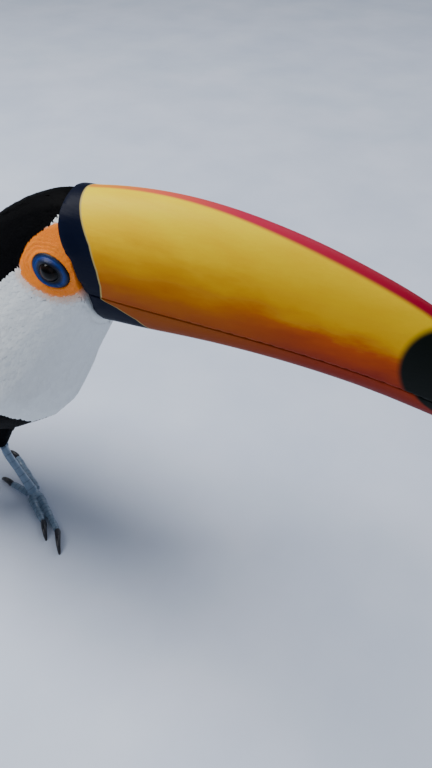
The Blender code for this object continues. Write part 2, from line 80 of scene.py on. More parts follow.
# The bare face's edge, round from its lowest point at the back.
FACE_OUTLINE = ((97.2, 253.6), (97.0, 259.5), (100.6, 267.6), (105.6, 272.6), (110.8, 276.4),
                (115.4, 279.4), (120.6, 280.2), (127.0, 277.0), (131.5, 270.0), (132.5, 262.0),
                (130.8, 254.6), (126.2, 249.6), (119.6, 247.1), (112.8, 246.8), (106.0, 248.8),
                (100.6, 250.8))
FACE_FROM_MIDDLE = 8.0        # nothing nearer the bird's middle plane than this is face skin
FACE_REACH = 17.0             # from the face's middle to its edge
RUMP_LINE = ((-88.0, 160.0), (-64.0, 70.0))
VENT_LINE = ((-130.0, 107.0), (-60.0, 116.0))
EYE_PLACE = (114.2, 18.6, 259.5)
RING_RADII = (9.8, 7.3)       # the blue skin ring along and up
EYE_RADIUS = 5.5
TAIL_ROOT = (-102.0, 0.0, 111.0)
RING_SLANT = 14.0
# The folded wing from its bend to its tip: x, y, z, half depth, wrap round the body, half thickness.
WING_LINES = (
    (56.0, 37.5, 182.5, 8.0, 1.0, 3.0), (45.0, 42.0, 178.0, 21.0, 4.5, 4.6),
    (20.0, 46.5, 168.0, 30.0, 8.5, 5.8), (-13.0, 47.5, 152.0, 34.0, 10.5, 6.2),
    (-48.0, 43.5, 136.0, 32.0, 10.0, 5.6), (-82.0, 35.0, 124.5, 25.0, 8.0, 4.4),
    (-118.0, 26.0, 114.5, 16.0, 5.0, 3.2), (-148.0, 19.5, 106.5, 9.0, 2.5, 2.2),
    (-169.0, 15.5, 100.5, 3.5, 0.8, 1.2))
WING_LEAN = math.radians(10.0)
BILL_LENGTH = 188.0
BILL_ROOT = (127.3, 260.0)
BILL_ROOT_SLANT = 6.0         # how far the bill's root leans back over the rise of its upper half
BILL_ROOT_RISE = 32.0
# Share of the length, then culmen, cutting edge and under side above the root's middle.
BILL_LINES = (
    (0.0, 31.0, -9.5, -30.5), (0.12, 34.6, -11.0, -30.0), (0.28, 35.0, -13.0, -28.0),
    (0.48, 28.9, -16.5, -29.0), (0.66, 18.9, -21.5, -33.0), (0.80, 7.8, -27.5, -38.8),
    (0.91, -7.5, -34.5, -43.5), (1.0, -36.0, -44.5, -46.5))
TAIL_LENGTH = 146.0
TAIL_DROOP = math.radians(17.0)
TAIL_FEATHER_WIDTH = 29.0
TAIL_FAN = 1.7                # degrees from one feather to the next
TAIL_LAYER = 1.1
TAIL_ROOT_STEP = 1.6          # sideways from one feather's root to the next
TAIL_BEND = 0.8
# Each leg's hip, ankle and foot.
LEGS = {
    "left": ((10.0, 28.0, 112.0), (-13.6, 23.4, 50.0), (9.6, 25.4, 7.5)),
    "right": ((-16.0, -28.5, 112.0), (-54.0, -29.0, 50.0), (-36.0, -31.0, 7.5)),
}
FLESH = ("crown_and_nape", "throat_and_bib", "trunk", "tail_coverts_upper", "tail_coverts_under",
         "thigh_left", "thigh_right", "face_skin_left", "face_skin_right", "wing_left", "wing_right")
SIDES = (("left", 1), ("right", -1))


# ---- Places on the bird ------------------------------------------------------------------------
def smooth(share):
    share = np.clip(share, 0.0, 1.0)
    return share * share * (3.0 - 2.0 * share)


def through(rows, count):
    """count rows read evenly from a smooth curve through the given rows."""
    table = np.array(rows, float)
    ends = np.vstack([2 * table[0] - table[1], table, 2 * table[-1] - table[-2]])
    place = np.linspace(0.0, len(table) - 1.0, count)
    i = np.minimum(place.astype(int), len(table) - 2)
    t = (place - i)[:, None]
    before, start, end, after = ends[i], ends[i + 1], ends[i + 2], ends[i + 3]
    return 0.5 * (2 * start + (end - before) * t + (2 * before - 5 * start + 4 * end - after) * t ** 2
                  + (3 * start - before - 3 * end + after) * t ** 3)


def neck_angle(points):
    """How far the head's turn has carried each straight point."""
    line = NECK_TURN_TO - NECK_TURN_FROM
    share = (points[:, [0, 2]] - NECK_TURN_FROM) @ line / (line @ line)
    return math.radians(HEAD_TURN) * smooth(share)


def rotated(vectors, angle):
    c, s = np.cos(angle), np.sin(angle)
    return np.stack([vectors[:, 0] * c - vectors[:, 1] * s, vectors[:, 0] * s + vectors[:, 1] * c,
                     vectors[:, 2]], 1)


def turned(*vector):
    """One direction of the straight head, turned with it."""
    return rotated(np.array([vector]), np.full(1, math.radians(HEAD_TURN)))[0]


def origin_shift():
    """What the solids' origin was moved by, read off where the two eyes lie."""
    found = []
    for label, side in SIDES:
        low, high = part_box("eye_" + label)
        eye = np.array([EYE_PLACE]) * (1, side, 1)
        place = (rotated(eye - NECK_PIVOT, neck_angle(eye)) + NECK_PIVOT)[0]
        found.append((np.array(low) + np.array(high)) / 2 / MM - place)
    return np.mean(found, axis=0) * np.array((1, 1, 0))


def placed(straight):
    """Straight millimetres to the frame's metres."""
    straight = np.atleast_2d(np.asarray(straight, float))
    return (rotated(straight - NECK_PIVOT, neck_angle(straight)) + NECK_PIVOT + ORIGIN_SHIFT) * MM


def straightened(points):
    """The frame's metres to straight millimetres, closing in on the neck's angle round by round."""
    bent = np.atleast_2d(points) / MM - ORIGIN_SHIFT
    straight = bent
    for _ in range(5):
        straight = rotated(bent - NECK_PIVOT, -neck_angle(straight)) + NECK_PIVOT
    return straight


ORIGIN_SHIFT = origin_shift()


def unit(vectors):
    return vectors / np.maximum(np.linalg.norm(vectors, axis=-1, keepdims=True), 1e-12)


def ahead_of_line(points, line):
    """Millimetres that x, z points lie ahead of an upright line through two points."""
    (x0, z0), (x1, z1) = line
    along = np.array((x1 - x0, z1 - z0)) / math.hypot(x1 - x0, z1 - z0)
    normal = np.array((-along[1], along[0]))
    if normal[0] < 0:
        normal = -normal
    return (points[:, [0, 2]] - np.array((x0, z0))) @ normal


def inside(points, edge):
    """Millimetres that straight points lie inside a closed outline, seen from the side."""
    flat = points[:, [0, 2]]
    best = np.full(len(points), np.inf)
    within = np.zeros(len(points), bool)
    for start, end in zip(edge, np.roll(edge, -1, axis=0)):
        along = end - start
        share = np.clip(((flat - start) @ along) / (along @ along), 0.0, 1.0)
        best = np.minimum(best, np.linalg.norm(flat - (start + share[:, None] * along), axis=1))
        crosses = (start[1] > flat[:, 1]) != (end[1] > flat[:, 1])
        rise = along[1] if abs(along[1]) > 1e-9 else 1e-9
        within ^= crosses & (flat[:, 0] < start[0] + along[0] * (flat[:, 1] - start[1]) / rise)
    return np.where(within, best, -best)


def inside_bib(points):
    return inside(points, through(BIB_OUTLINE, 61))


def on_face(points):
    """The share of the way out from the bare face's middle to its edge; below 1 is bare skin."""
    share = 1.0 - inside(points, np.array(FACE_OUTLINE)) / FACE_REACH
    return np.where(np.abs(points[:, 1]) > FACE_FROM_MIDDLE, share, 9.0)


def body_place(points):
    """Share of the way from bill to tail, angle round the body, and lie of the coat there."""
    lines = through(BODY_LINES, 121)
    back, belly = lines[:, :2], lines[:, 2:]
    flat = points[:, [0, 2]]
    up = back - belly
    cross = (up[None, :, 0] * (flat[:, None, 1] - belly[None, :, 1])
             - up[None, :, 1] * (flat[:, None, 0] - belly[None, :, 0]))
    behind = cross > 0
    passed = np.argmax(~behind, axis=1)
    passed = np.where(behind.all(1), len(lines) - 1, np.maximum(passed, 1))
    rows = np.arange(len(points))
    a, b = cross[rows, passed - 1], cross[rows, passed]
    share = np.clip(passed - 1 + a / np.where(np.abs(a - b) < 1e-9, 1.0, a - b), 0, len(lines) - 1)
    i = np.minimum(share.astype(int), len(lines) - 2)
    t = (share - i)[:, None]
    low, high = belly[i] * (1 - t) + belly[i + 1] * t, back[i] * (1 - t) + back[i + 1] * t
    height = np.clip(np.sum((flat - low) * (high - low), 1) / np.sum((high - low) ** 2, 1), 0, 1)
    flow = (belly[i + 1] - belly[i]) * (1 - height[:, None]) + (back[i + 1] - back[i]) * height[:, None]
    lie = np.stack([flow[:, 0], np.zeros(len(points)), flow[:, 1]], 1)
    angle = np.arctan2((height - 0.5) * 2.0, points[:, 1] / BODY_HALF_WIDTH)
    return share / (len(lines) - 1), angle / math.tau + 0.5, unit(lie)


WING_ROWS = through(WING_LINES, 161)


def wing_point(side, share, across, lift):
    """A point that far over the folded wing's outer face, in straight millimetres."""
    place = np.clip(share, 0, 1) * (len(WING_ROWS) - 1)
    numbers = np.arange(len(WING_ROWS))
    x, y, z, depth, wrap, thick = (np.interp(place, numbers, column) for column in WING_ROWS.T)
    swell = np.sqrt(np.maximum(1.0 - across ** 2, 0.0))
    out = (thick + lift) * swell - wrap * across ** 2 - depth * across * math.sin(WING_LEAN)
    return np.stack([x, side * (y + out), z + depth * across * math.cos(WING_LEAN)], -1)


# ---- Making and finishing meshes ---------------------------------------------------------------
def select_only(*objs):
    if bpy.context.mode != "OBJECT":
        bpy.ops.object.mode_set(mode="OBJECT")
    bpy.ops.object.select_all(action="DESELECT")
    for obj in objs:
        obj.select_set(True)
    bpy.context.view_layer.objects.active = objs[0]


def fresh(name):
    """Removes what an earlier run of the same operator left."""
    old = bpy.data.objects.get(name)
    if old:
        bpy.data.objects.remove(old)
    return name


def put(name, data):
    """A new object in the scene, in place of one that an earlier run left."""
    obj = bpy.data.objects.new(fresh(name), data)
    bpy.context.scene.collection.objects.link(obj)
    return obj


def edited(obj, step, **settings):
    """Runs one mesh operator on the whole of an object's mesh."""
    select_only(obj)
    bpy.ops.object.mode_set(mode="EDIT")
    bpy.ops.mesh.select_all(action="SELECT")
    step(**settings)
    bpy.ops.object.mode_set(mode="OBJECT")


def copy_node(node, name):
    """A welded copy of a CAD node's mesh."""
    obj = put(name, NODES[node].data.copy())
    obj.data.materials.clear()
    select_only(obj)
    bpy.ops.mesh.customdata_custom_splitnormals_clear()
    edited(obj, bpy.ops.mesh.remove_doubles, threshold=1e-5)
    return obj


def sphere(radius, **settings):
    """A new UV sphere about the origin, alone in the selection."""
    bpy.ops.object.select_all(action="DESELECT")
    bpy.ops.mesh.primitive_uv_sphere_add(radius=radius * MM, **settings)
    return bpy.context.view_layer.objects.active


def joined(objs, name):
    select_only(*objs)
    bpy.ops.object.join()
    obj = bpy.context.view_layer.objects.active
    obj.name = fresh(name)
    obj.data.name = name
    return obj


def with_modifier(obj, kind, **settings):
    select_only(obj)
    modifier = obj.modifiers.new(kind.lower(), kind)
    for key, value in settings.items():
        setattr(modifier, key, value)
    bpy.ops.object.modifier_apply(modifier=modifier.name)
    return obj


def read(things, field, width=1, kind=np.float32):
    """One field of every item of a collection, in rows of this width."""
    found = np.zeros(len(things) * width, kind)
    things.foreach_get(field, found)
    return found.reshape(-1, width) if width > 1 else found


def coordinates(obj):
    return read(obj.data.vertices, "co", 3).astype(float)


def vertex_normals(obj):
    return read(obj.data.vertex_normals, "vector", 3).astype(float)


def surface_tree(mesh):
    return BVHTree.FromPolygons([v.co for v in mesh.vertices], [tuple(p.vertices) for p in mesh.polygons])


def set_coordinates(obj, points):
    obj.data.vertices.foreach_set("co", np.asarray(points, np.float32).ravel())
    obj.data.update()


def swell(obj, by_mm):
    set_coordinates(obj, coordinates(obj) + vertex_normals(obj) * by_mm * MM)


def evened(obj, values, rounds):
    """Values averaged with their neighbours' along the mesh's edges."""
    a, b = read(obj.data.edges, "vertices", 2, np.int32).T
    count = np.bincount(a, minlength=len(values)) + np.bincount(b, minlength=len(values))
    for _ in range(rounds):
        total = (np.bincount(a, values[b], len(values)) + np.bincount(b, values[a], len(values)))
        values = 0.5 * values + 0.5 * total / np.maximum(count, 1)
    return values


def give_values(obj, name, values):
    """Stores one number, or three, for each vertex."""
    values = np.asarray(values, np.float32)
    kind, field = ("FLOAT", "value") if values.ndim == 1 else ("FLOAT_VECTOR", "vector")
    obj.data.attributes.new(name, kind, "POINT").data.foreach_set(field, values.ravel())


def quads_object(name, points, quads):
    """A closed mesh from metres and rows of four indices, turned outwards."""
    a, b, c, d = (points[quads[:, i]] for i in range(4))
    if np.sum(a * np.cross(b, c)) + np.sum(a * np.cross(c, d)) < 0:
        quads = quads[:, ::-1]
    mesh = bpy.data.meshes.new(name)
    mesh.vertices.add(len(points))
    mesh.vertices.foreach_set("co", points.astype(np.float32).ravel())
    mesh.loops.add(quads.size)
    mesh.loops.foreach_set("vertex_index", quads.astype(np.int32).ravel())
    mesh.polygons.add(len(quads))
    mesh.polygons.foreach_set("loop_start", np.arange(0, quads.size, 4, dtype=np.int32))
    mesh.update(calc_edges=True)
    mesh.validate()
    mesh.shade_smooth()
    return put(name, mesh)


PATCH = 0.0014                     # half the size of one vane's patch on the bake map


def swept(name, centre, side, up, half_width, section, lift, lean=None):
    """Many closed vanes in one mesh. centre, side and up are (vane, ring, 3); section has
    (share across, height) rows in order round the vane; lift scales the height at each ring.
    With lean, a vane is shaded like the skin under it and turned only that much across itself."""
    count, rings = centre.shape[:2]
    section = np.array(section, float)
    loop = len(section)
    points = (centre[:, :, None] + side[:, :, None] * (half_width[..., None] * section[:, 0])[..., None]
              + up[:, :, None] * (lift[..., None] * section[:, 1])[..., None])
    base = (np.arange(count)[:, None, None] * rings + np.arange(rings - 1)[None, :, None]) * loop
    m = np.arange(loop)[None, None, :]
    n = (m + 1) % loop
    walls = np.stack([base + m, base + n, base + loop + n, base + loop + m], -1).reshape(-1, 4)
    half = np.arange(loop // 2 - 1)
    cap = np.stack([half, half + 1, loop - 2 - half, loop - 1 - half], -1)
    first = (np.arange(count) * rings * loop)[:, None, None]
    start = (first + cap[None, :, ::-1]).reshape(-1, 4)
    end = (first + (rings - 1) * loop + cap[None]).reshape(-1, 4)
    obj = quads_object(name, points.reshape(-1, 3), np.concatenate([walls, start, end]))
    if lean is not None:
        top = section[:, 1] > section[:, 1].min()
        facing = up[:, :, None] + side[:, :, None] * (lean * section[:, 0])[:, None]
        facing = np.where(top[:, None], facing, -up[:, :, None])
        obj.data.normals_split_custom_set_from_vertices(unit(facing).reshape(-1, 3))
    return obj


def give_vane_values(obj, section, half_width, length, tone, root_uv):
    """Each vane's own across and along millimetres, its tone, and its patch on the bake map. section
    and half_width are as in swept; the rest have one row for each vane."""
    shape = half_width.shape + (len(section),)
    place = np.broadcast_to(np.array(section, float)[:, 0], shape)
    share = np.broadcast_to(np.linspace(0, 1, shape[1])[None, :, None], shape)
    across, along = half_width[..., None] * place / MM, share * (length[:, None, None] / MM)
    tones = np.broadcast_to(tone[:, None, None], shape)
    give_values(obj, "vane", np.stack([across, along, tones], -1).reshape(-1, 3))
    uv = root_uv[:, None, None] + PATCH * np.stack([place, 2 * share - 1], -1)
    index = read(obj.data.loops, "vertex_index", 1, np.int32)
    layer = obj.data.uv_layers.new(name="OFBake")
    layer.data.foreach_set("uv", uv.reshape(-1, 2)[index].astype(np.float32).ravel())


def piece(obj, material, replaces=()):
    """Says what a finished piece is made of, rides on and stands for."""
    obj.data.materials.clear()
    obj.data.materials.append(material)
    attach(obj, "root")
    if replaces:
        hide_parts(*replaces)
    return obj


# ---- Materials ---------------------------------------------------------------------------------
# Each short name's node, its settings, the inputs that are given in order, and the output handed back.
# Noise and cell scales are per metre: 900 is a pattern 1.1 mm across.
KINDS = {
    "place": ("TexCoord", {}, (), "Object"),
    "value": ("Attribute", {}, (), "Fac"),
    "vector": ("Attribute", {}, (), "Vector"),
    "parts": ("SeparateXYZ", {}, (0,), None),
    "mapping": ("Mapping", {}, ("Vector", "Rotation", "Scale"), 0),
    "noise": ("TexNoise", {}, ("Vector", "Scale", "Detail", "Roughness"), "Fac"),
    "cells": ("TexVoronoi", {}, ("Vector", "Scale"), "Distance"),
    "creases": ("TexVoronoi", {"feature": "DISTANCE_TO_EDGE"}, ("Vector", "Scale"), "Distance"),
    "mix": ("Mix", {"data_type": "RGBA"}, (0, 6, 7), 2),
    "ramp": ("ValToRGB", {}, (0,), 0),
    "range": ("MapRange", {}, (0, 1, 2, 3, 4), 0),
    "ease": ("MapRange", {"interpolation_type": "SMOOTHSTEP"}, (0, 1, 2, 3, 4), 0),
    "absolute": ("Math", {"operation": "ABSOLUTE"}, (0,), 0),
    "sine": ("Math", {"operation": "SINE"}, (0,), 0),
    "subtract": ("Math", {"operation": "SUBTRACT"}, (0, 1), 0),
    "multiply": ("Math", {"operation": "MULTIPLY"}, (0, 1), 0),
    "multiply_add": ("Math", {"operation": "MULTIPLY_ADD"}, (0, 1, 2), 0),
    "offset": ("VectorMath", {"operation": "SUBTRACT"}, (0, 1), 0),
    "dot": ("VectorMath", {"operation": "DOT_PRODUCT"}, (0, 1), "Value"),
    "bump": ("Bump", {}, ("Strength", "Distance", "Height"), 0),
    "shader": ("BsdfPrincipled", {}, ("Base Color", "Roughness", "Specular IOR Level"), 0),
    "surface": ("OutputMaterial", {}, (0,), None),
}


def linear(hex_colour):
    """An sRGB hex colour as linear RGBA."""
    parts = [int(hex_colour[i:i + 2], 16) / 255 for i in (1, 3, 5)]
    return tuple(p / 12.92 if p <= 0.04045 else ((p + 0.055) / 1.055) ** 2.4 for p in parts) + (1.0,)


def add(tree, kind, *values, inputs=None, steps=(), **settings):
    """Adds a node of one of the KINDS and hands back its output. A value is a number, a hex colour or
    a socket to link from, and steps are a ramp's (place, hex)."""
    type_name, usual, order, output = KINDS[kind]
    node = tree.nodes.new("ShaderNode" + type_name)
    for key, value in {**usual, **settings}.items():
        setattr(node, key, value)
    for key, value in {**dict(zip(order, values)), **(inputs or {})}.items():
        if isinstance(value, bpy.types.NodeSocket):
            tree.links.new(value, node.inputs[key])
        else:
            node.inputs[key].default_value = linear(value) if isinstance(value, str) else value
    if steps:
        elements = node.color_ramp.elements
        elements.remove(elements[-1])
        elements[0].position, elements[0].color = steps[0][0], linear(steps[0][1])
        for place, tint in steps[1:]:
            elements.new(place).color = linear(tint)
    return node.outputs if output is None else node.outputs[output]


def new_material(name):
    material = bpy.data.materials.get(name) or bpy.data.materials.new(name)
    material.use_nodes = True
    material.node_tree.nodes.clear()
    return material, material.node_tree


def shaded(material, base, roughness, gloss, **others):
    """Ends a material with its shader; an underscore stands for a space in an input's name."""
    tree, named = material.node_tree, {key.replace("_", " "): value for key, value in others.items()}
    add(tree, "surface", add(tree, "shader", base, roughness, gloss, inputs=named))
    return material


def feather_material(name, light, dark, roughness, gloss, sheen=0.0, sheen_tint="#FFFFFF"):
    """Feather keratin: flat barbs, so a soft sheen along the vane and fine lines across it."""
    material, tree = new_material(name)
    across, along, tone = add(tree, "parts", add(tree, "vector", attribute_name="vane"))
    # Barbs leave the shaft at about 40 degrees; drawn 0.7 mm apart, as the real 0.25 mm is too fine.
    slope = add(tree, "multiply_add", add(tree, "absolute", across), -1.2, along)
    barbs = add(tree, "sine", add(tree, "multiply", slope, math.tau / 0.7))
    mottle = add(tree, "noise", add(tree, "place"), 160.0, 3.0)
    shade = add(tree, "range", add(tree, "multiply_add", tone, 0.6, mottle), 0.35, 1.2)
    base = add(tree, "mix", shade, light, dark)
    # Preening oil and the skin's colour tint the small feathers next to the bare face.
    base = add(tree, "mix", add(tree, "value", attribute_name="blush"), base, "#F3BE98")
    return shaded(material, base, roughness, gloss, Normal=add(tree, "bump", 0.2, 0.00006, barbs),
                  Sheen_Weight=sheen, Sheen_Roughness=0.45, Sheen_Tint=sheen_tint)


def skin_material(colours):
    """Bare face skin, thin and finely creased; elsewhere only what shows between feathers."""
    material, tree = new_material("bare skin and down")
    place = add(tree, "place")
    white, red, bare = add(tree, "parts", add(tree, "vector", attribute_name="marks"))
    # Orange that shifts every 3 mm or so, and creases about 1 mm apart.
    orange = add(tree, "mix", add(tree, "noise", place, 350.0, 4.0), colours.face_orange_hex, "#F07A08")
    down = add(tree, "mix", white, colours.black_hex, colours.white_hex)
    down = add(tree, "mix", red, down, colours.red_hex)
    down = add(tree, "mix", add(tree, "value", attribute_name="warm"), down, "#F2B8A0")
    creases = add(tree, "range", add(tree, "creases", place, 900.0), 0.0, 0.25)
    # Only the bare face shines and lets light through; down and skin under feathers stay dull.
    gloss = add(tree, "range", bare, 0.0, 1.0, 0.04, 0.3)
    soft = add(tree, "range", bare, 0.0, 1.0, 0.0, 0.15)
    return shaded(material, add(tree, "mix", bare, down, orange), 0.5, gloss,
                  Normal=add(tree, "bump", 0.35, 0.0002, creases), Subsurface_Weight=soft,
                  Subsurface_Radius=(0.003, 0.0012, 0.0006), Subsurface_Scale=0.4)


def bill_material(name, upper, colours):
    """Bill horn: thin keratin over foam, waxy and half clear, with colour laid in soft flames."""
    material, tree = new_material(name)
    place = add(tree, "place")
    ahead, height, ridge = add(tree, "parts", add(tree, "vector", attribute_name="horn"))
    # Streaks about 8 mm apart and 55 mm long, with broader clouds 20 mm across.
    lined = add(tree, "mapping", place, (0, 0, -math.radians(HEAD_TURN)), (18.0, 120.0, 120.0))
    # level climbs each half's side, so the ramps below make both halves darker low down: partly the horn's
    # own deeper orange and red there, partly painted shade of the lower side.
    level = add(tree, "multiply_add", add(tree, "noise", lined, 1.0, 4.0, 0.6), 0.34, height)
    level = add(tree, "multiply_add", add(tree, "noise", place, 45.0, 3.0), 0.16, level)
    level = add(tree, "subtract", level, 0.25)
    if upper:
        near = add(tree, "ramp", level, steps=(
            (0.00, "#A04A06"), (0.16, "#AE5A08"), (0.36, "#C67C08"), (0.55, "#DC9E06"),
            (0.74, "#F6C600"), (1.0, "#FFE000")))
        far = add(tree, "ramp", level, steps=(
            (0.00, "#8E2A18"), (0.16, "#A83C12"), (0.30, "#BC4E0C"), (0.40, "#D28A0A"),
            (0.52, "#E2A808"), (1.0, "#F0C808")))
    else:
        near = add(tree, "ramp", level, steps=((0.0, "#6E2A0C"), (0.6, "#944408"), (1.0, "#A0520A")))
        far = add(tree, "ramp", level, steps=((0.0, "#6A1824"), (0.6, "#882616"), (1.0, "#983414")))
    colour = add(tree, "mix", add(tree, "ease", ahead, 35.0, 120.0), near, far)
    if upper:
        # The culmen's red stripe widens forward; ridge is the distance across from the ridge line.
        width = add(tree, "ease", ahead, 4.0, 110.0, 1.7, 5.0)
        stripe = add(tree, "ease", add(tree, "subtract", width, ridge), -0.9, 0.7)
        red = add(tree, "ramp", add(tree, "range", ahead, 0.0, BILL_LENGTH), steps=(
            (0.05, "#E8902C"), (0.18, "#E0604A"), (0.36, "#C02848"), (0.75, "#980E2C"), (1.0, "#7A0C20")))
        colour = add(tree, "mix", stripe, colour, red)
    # Both are millimetres inside the mark's edge.
    band, spot = (add(tree, "value", attribute_name=name) for name in ("band", "spot"))
    for source, low, high, tint in ((spot, -1.2, 1.8, colours.spot_hex), (band, -0.9, -0.4, "#B9A564"),
                                    (band, -0.3, 0.3, colours.band_hex)):
        mask = add(tree, "ease", source, low, high)
        colour = add(tree, "mix", mask, colour, tint)
    # Growth lines run along the horn about 1.4 mm apart, and it is a little rough between them.
    grain = add(tree, "noise", lined, 6.0, 3.0)
    # The band, whose mask came last, is duller than the coloured horn.
    return shaded(material, colour, add(tree, "range", grain, 0.2, 0.8, 0.34, 0.48),
                  add(tree, "range", mask, 0.0, 1.0, 0.07, 0.05),
                  Normal=add(tree, "bump", 0.22, 0.0003, grain), IOR=1.54, Subsurface_Weight=0.03,
                  Subsurface_Radius=(0.004, 0.002, 0.0006), Subsurface_Scale=0.5)


def ring_material():
    """Blue skin round the eye: colour from the skin's own structure, with a darker outer rim."""
    material, tree = new_material("blue eye skin")
    place = add(tree, "place")
    rim = add(tree, "value", attribute_name="rim")
    # Blue that shifts every 2 mm, over warts 0.8 mm across.
    shade = add(tree, "multiply_add", add(tree, "noise", place, 500.0, 3.0), 0.16, rim)
    base = add(tree, "ramp", shade, steps=(
        (0.10, "#04060C"), (0.34, "#060C1C"), (0.50, "#081C48"), (0.68, "#0E3078"), (0.90, "#0A2456"),
        (1.04, "#040A1C")))
    return shaded(material, base, 0.48, 0.25, Subsurface_Weight=0.08, Subsurface_Scale=0.2,
                  Normal=add(tree, "bump", 0.25, 0.0002, add(tree, "cells", place, 1300.0)))


def eye_material(name, centre, outward):
    """A wet cornea over a near-black brown iris and the black pupil."""
    material, tree = new_material(name)
    # From the iris's edge, 3.0 mm out from the eye's middle, to the front of the cornea.
    away = add(tree, "offset", add(tree, "place"), tuple(centre))
    share = add(tree, "range", add(tree, "dot", away, tuple(outward)), 0.0030, 0.0056)
    shade = add(tree, "multiply_add", add(tree, "noise", away, 1800.0), 0.05, share)
    base = add(tree, "ramp", shade, steps=(
        (0.0, "#050406"), (0.42, "#080605"), (0.60, "#160C08"), (0.80, "#0C0705"), (0.86, "#010102")))
    return shaded(material, base, 0.06, 0.22, IOR=1.376)


def scale_material(colours):
    """Horny leg scales: blue-grey plates with dark seams, a little glossy where they are worn."""
    material, tree = new_material("leg scute keratin")
    place = add(tree, "place")
    # Worn patches 4 to 5 mm across, and creases 1.4 mm apart on the plates.
    base = add(tree, "mix", add(tree, "noise", place, 220.0, 4.0), "#55708C", colours.leg_hex)
    base = add(tree, "mix", add(tree, "value", attribute_name="seam"), base, "#22344E")
    creases = add(tree, "range", add(tree, "creases", place, 700.0), 0.0, 0.12)
    return shaded(material, base, 0.30, 0.5, Normal=add(tree, "bump", 0.3, 0.0002, creases),
                  Coat_Weight=0.5, Coat_Roughness=0.18)


def claw_material():
    """Claw horn: black keratin, polished on the back of the curve and scratched along it."""
    material, tree = new_material("claw horn")
    grain = add(tree, "noise", add(tree, "place"), 600.0, 4.0)
    return shaded(material, add(tree, "mix", grain, "#0C0E16", "#2A2C38"),
                  add(tree, "range", grain, 0.2, 0.8, 0.22, 0.42), 0.5, IOR=1.54)


def floor_material():
    """Pale matt floor, barely clouded, so that the bird's shadow shows."""
    material, tree = new_material("pale studio floor")
    cloud = add(tree, "noise", add(tree, "place"), 9.0, 5.0)
    return shaded(material, add(tree, "ramp", cloud, steps=((0.3, "#D3DFF4"), (0.7, "#E4EDFF"))), 0.6, 0.5)


# ---- What a user may change --------------------------------------------------------------------
class ToucanColours(bpy.types.PropertyGroup):
    black_hex: StringProperty(name="Black plumage", description="sRGB hex", default="#020204")
    white_hex: StringProperty(name="White plumage", description="sRGB hex", default="#EDF1F0")
    red_hex: StringProperty(name="Red plumage", description="sRGB hex", default="#B4180F")
    face_orange_hex: StringProperty(name="Face skin", description="sRGB hex", default="#FF8C0C")
    band_hex: StringProperty(name="Bill band", description="sRGB hex", default="#0A1024")
    spot_hex: StringProperty(name="Bill spot", description="sRGB hex", default="#0A100C")
    leg_hex: StringProperty(name="Legs", description="sRGB hex", default="#8BA3BC")


class ToucanSizes(bpy.types.PropertyGroup):
    voxel: FloatProperty(name="Skin grain", description="Edge of the skin's mesh", default=0.0013,
                         min=0.0008, max=0.004, unit="LENGTH")
    coat_depth: FloatProperty(name="Coat depth", description="How far the skin lies inside the body's solids",
                              default=0.0022, min=0.0005, max=0.005, unit="LENGTH")
    seed: IntProperty(name="Seed", description="Start of every random draw", default=7)


# ---- Skin --------------------------------------------------------------------------------------
BODY, WING, THIGH = 0, 1, 2        # what a place on the skin belongs to
REGION_REACH_M = 0.0014            # a place this near a wing's or thigh's solid belongs to it
SKIN_SWELL = 0.35                  # the solids are swollen by this much to merge well, then let down
WING_CUT = -100.0                  # behind here the folded wing is feathers alone
WING_CUT_SPREAD = 19.0             # and its cut end lies further out than this
TUCK_PLACE = (98.0, 163.0)         # the breast's lower front edge, x and z
TUCK_REACH = 20.0
TUCK_DEPTH = 2.2
EDGE_WIDTH = 1.6                   # over which one plumage colour gives way to the next
BAND_FROM = 262.0                  # above this height the bill's dark band borders the face
FOLD_SPACING = 1.7                 # between the bare face's folds round the eye
FOLD_DEPTH, CROSS_FOLD_DEPTH = 0.13, 0.05
FOLDED_REACH = 24.0                # how far from the eye's middle the folds may go
SEAT_DEPTH = 1.6                   # how far inside the eye's middle the skin under the ring lies
# Heights, and how far behind the bill's own root its dark band reaches back over the face there.
BAND_REACH = ((265.0, 0.0), (268.0, 0.3), (270.6, 1.7), (275.4, 2.9), (280.0, 3.7), (285.0, 3.7),
              (288.0, 3.0), (292.0, 2.2))


def region_of(obj):
    """Which of body, wing and thigh each skin vertex belongs to."""
    points = coordinates(obj)
    region = np.full(len(points), BODY)
    for node, number in (("wing_left", WING), ("wing_right", WING),
                         ("thigh_left", THIGH), ("thigh_right", THIGH)):
        tree = surface_tree(NODES[node].data)
        low, high = (np.array(c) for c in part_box(node))
        near = np.all((points > low - REGION_REACH_M) & (points < high + REGION_REACH_M), 1)
        for i in np.nonzero(near)[0]:
            if tree.find_nearest(points[i], REGION_REACH_M)[0] is not None:
                region[i] = number
    # The wing's cut end, ahead of the long feathers' tips, belongs to the wing too.
    straight = straightened(points)
    region[(straight[:, 0] < WING_CUT + 2.5) & (np.abs(straight[:, 1]) > WING_CUT_SPREAD)] = WING
    return region


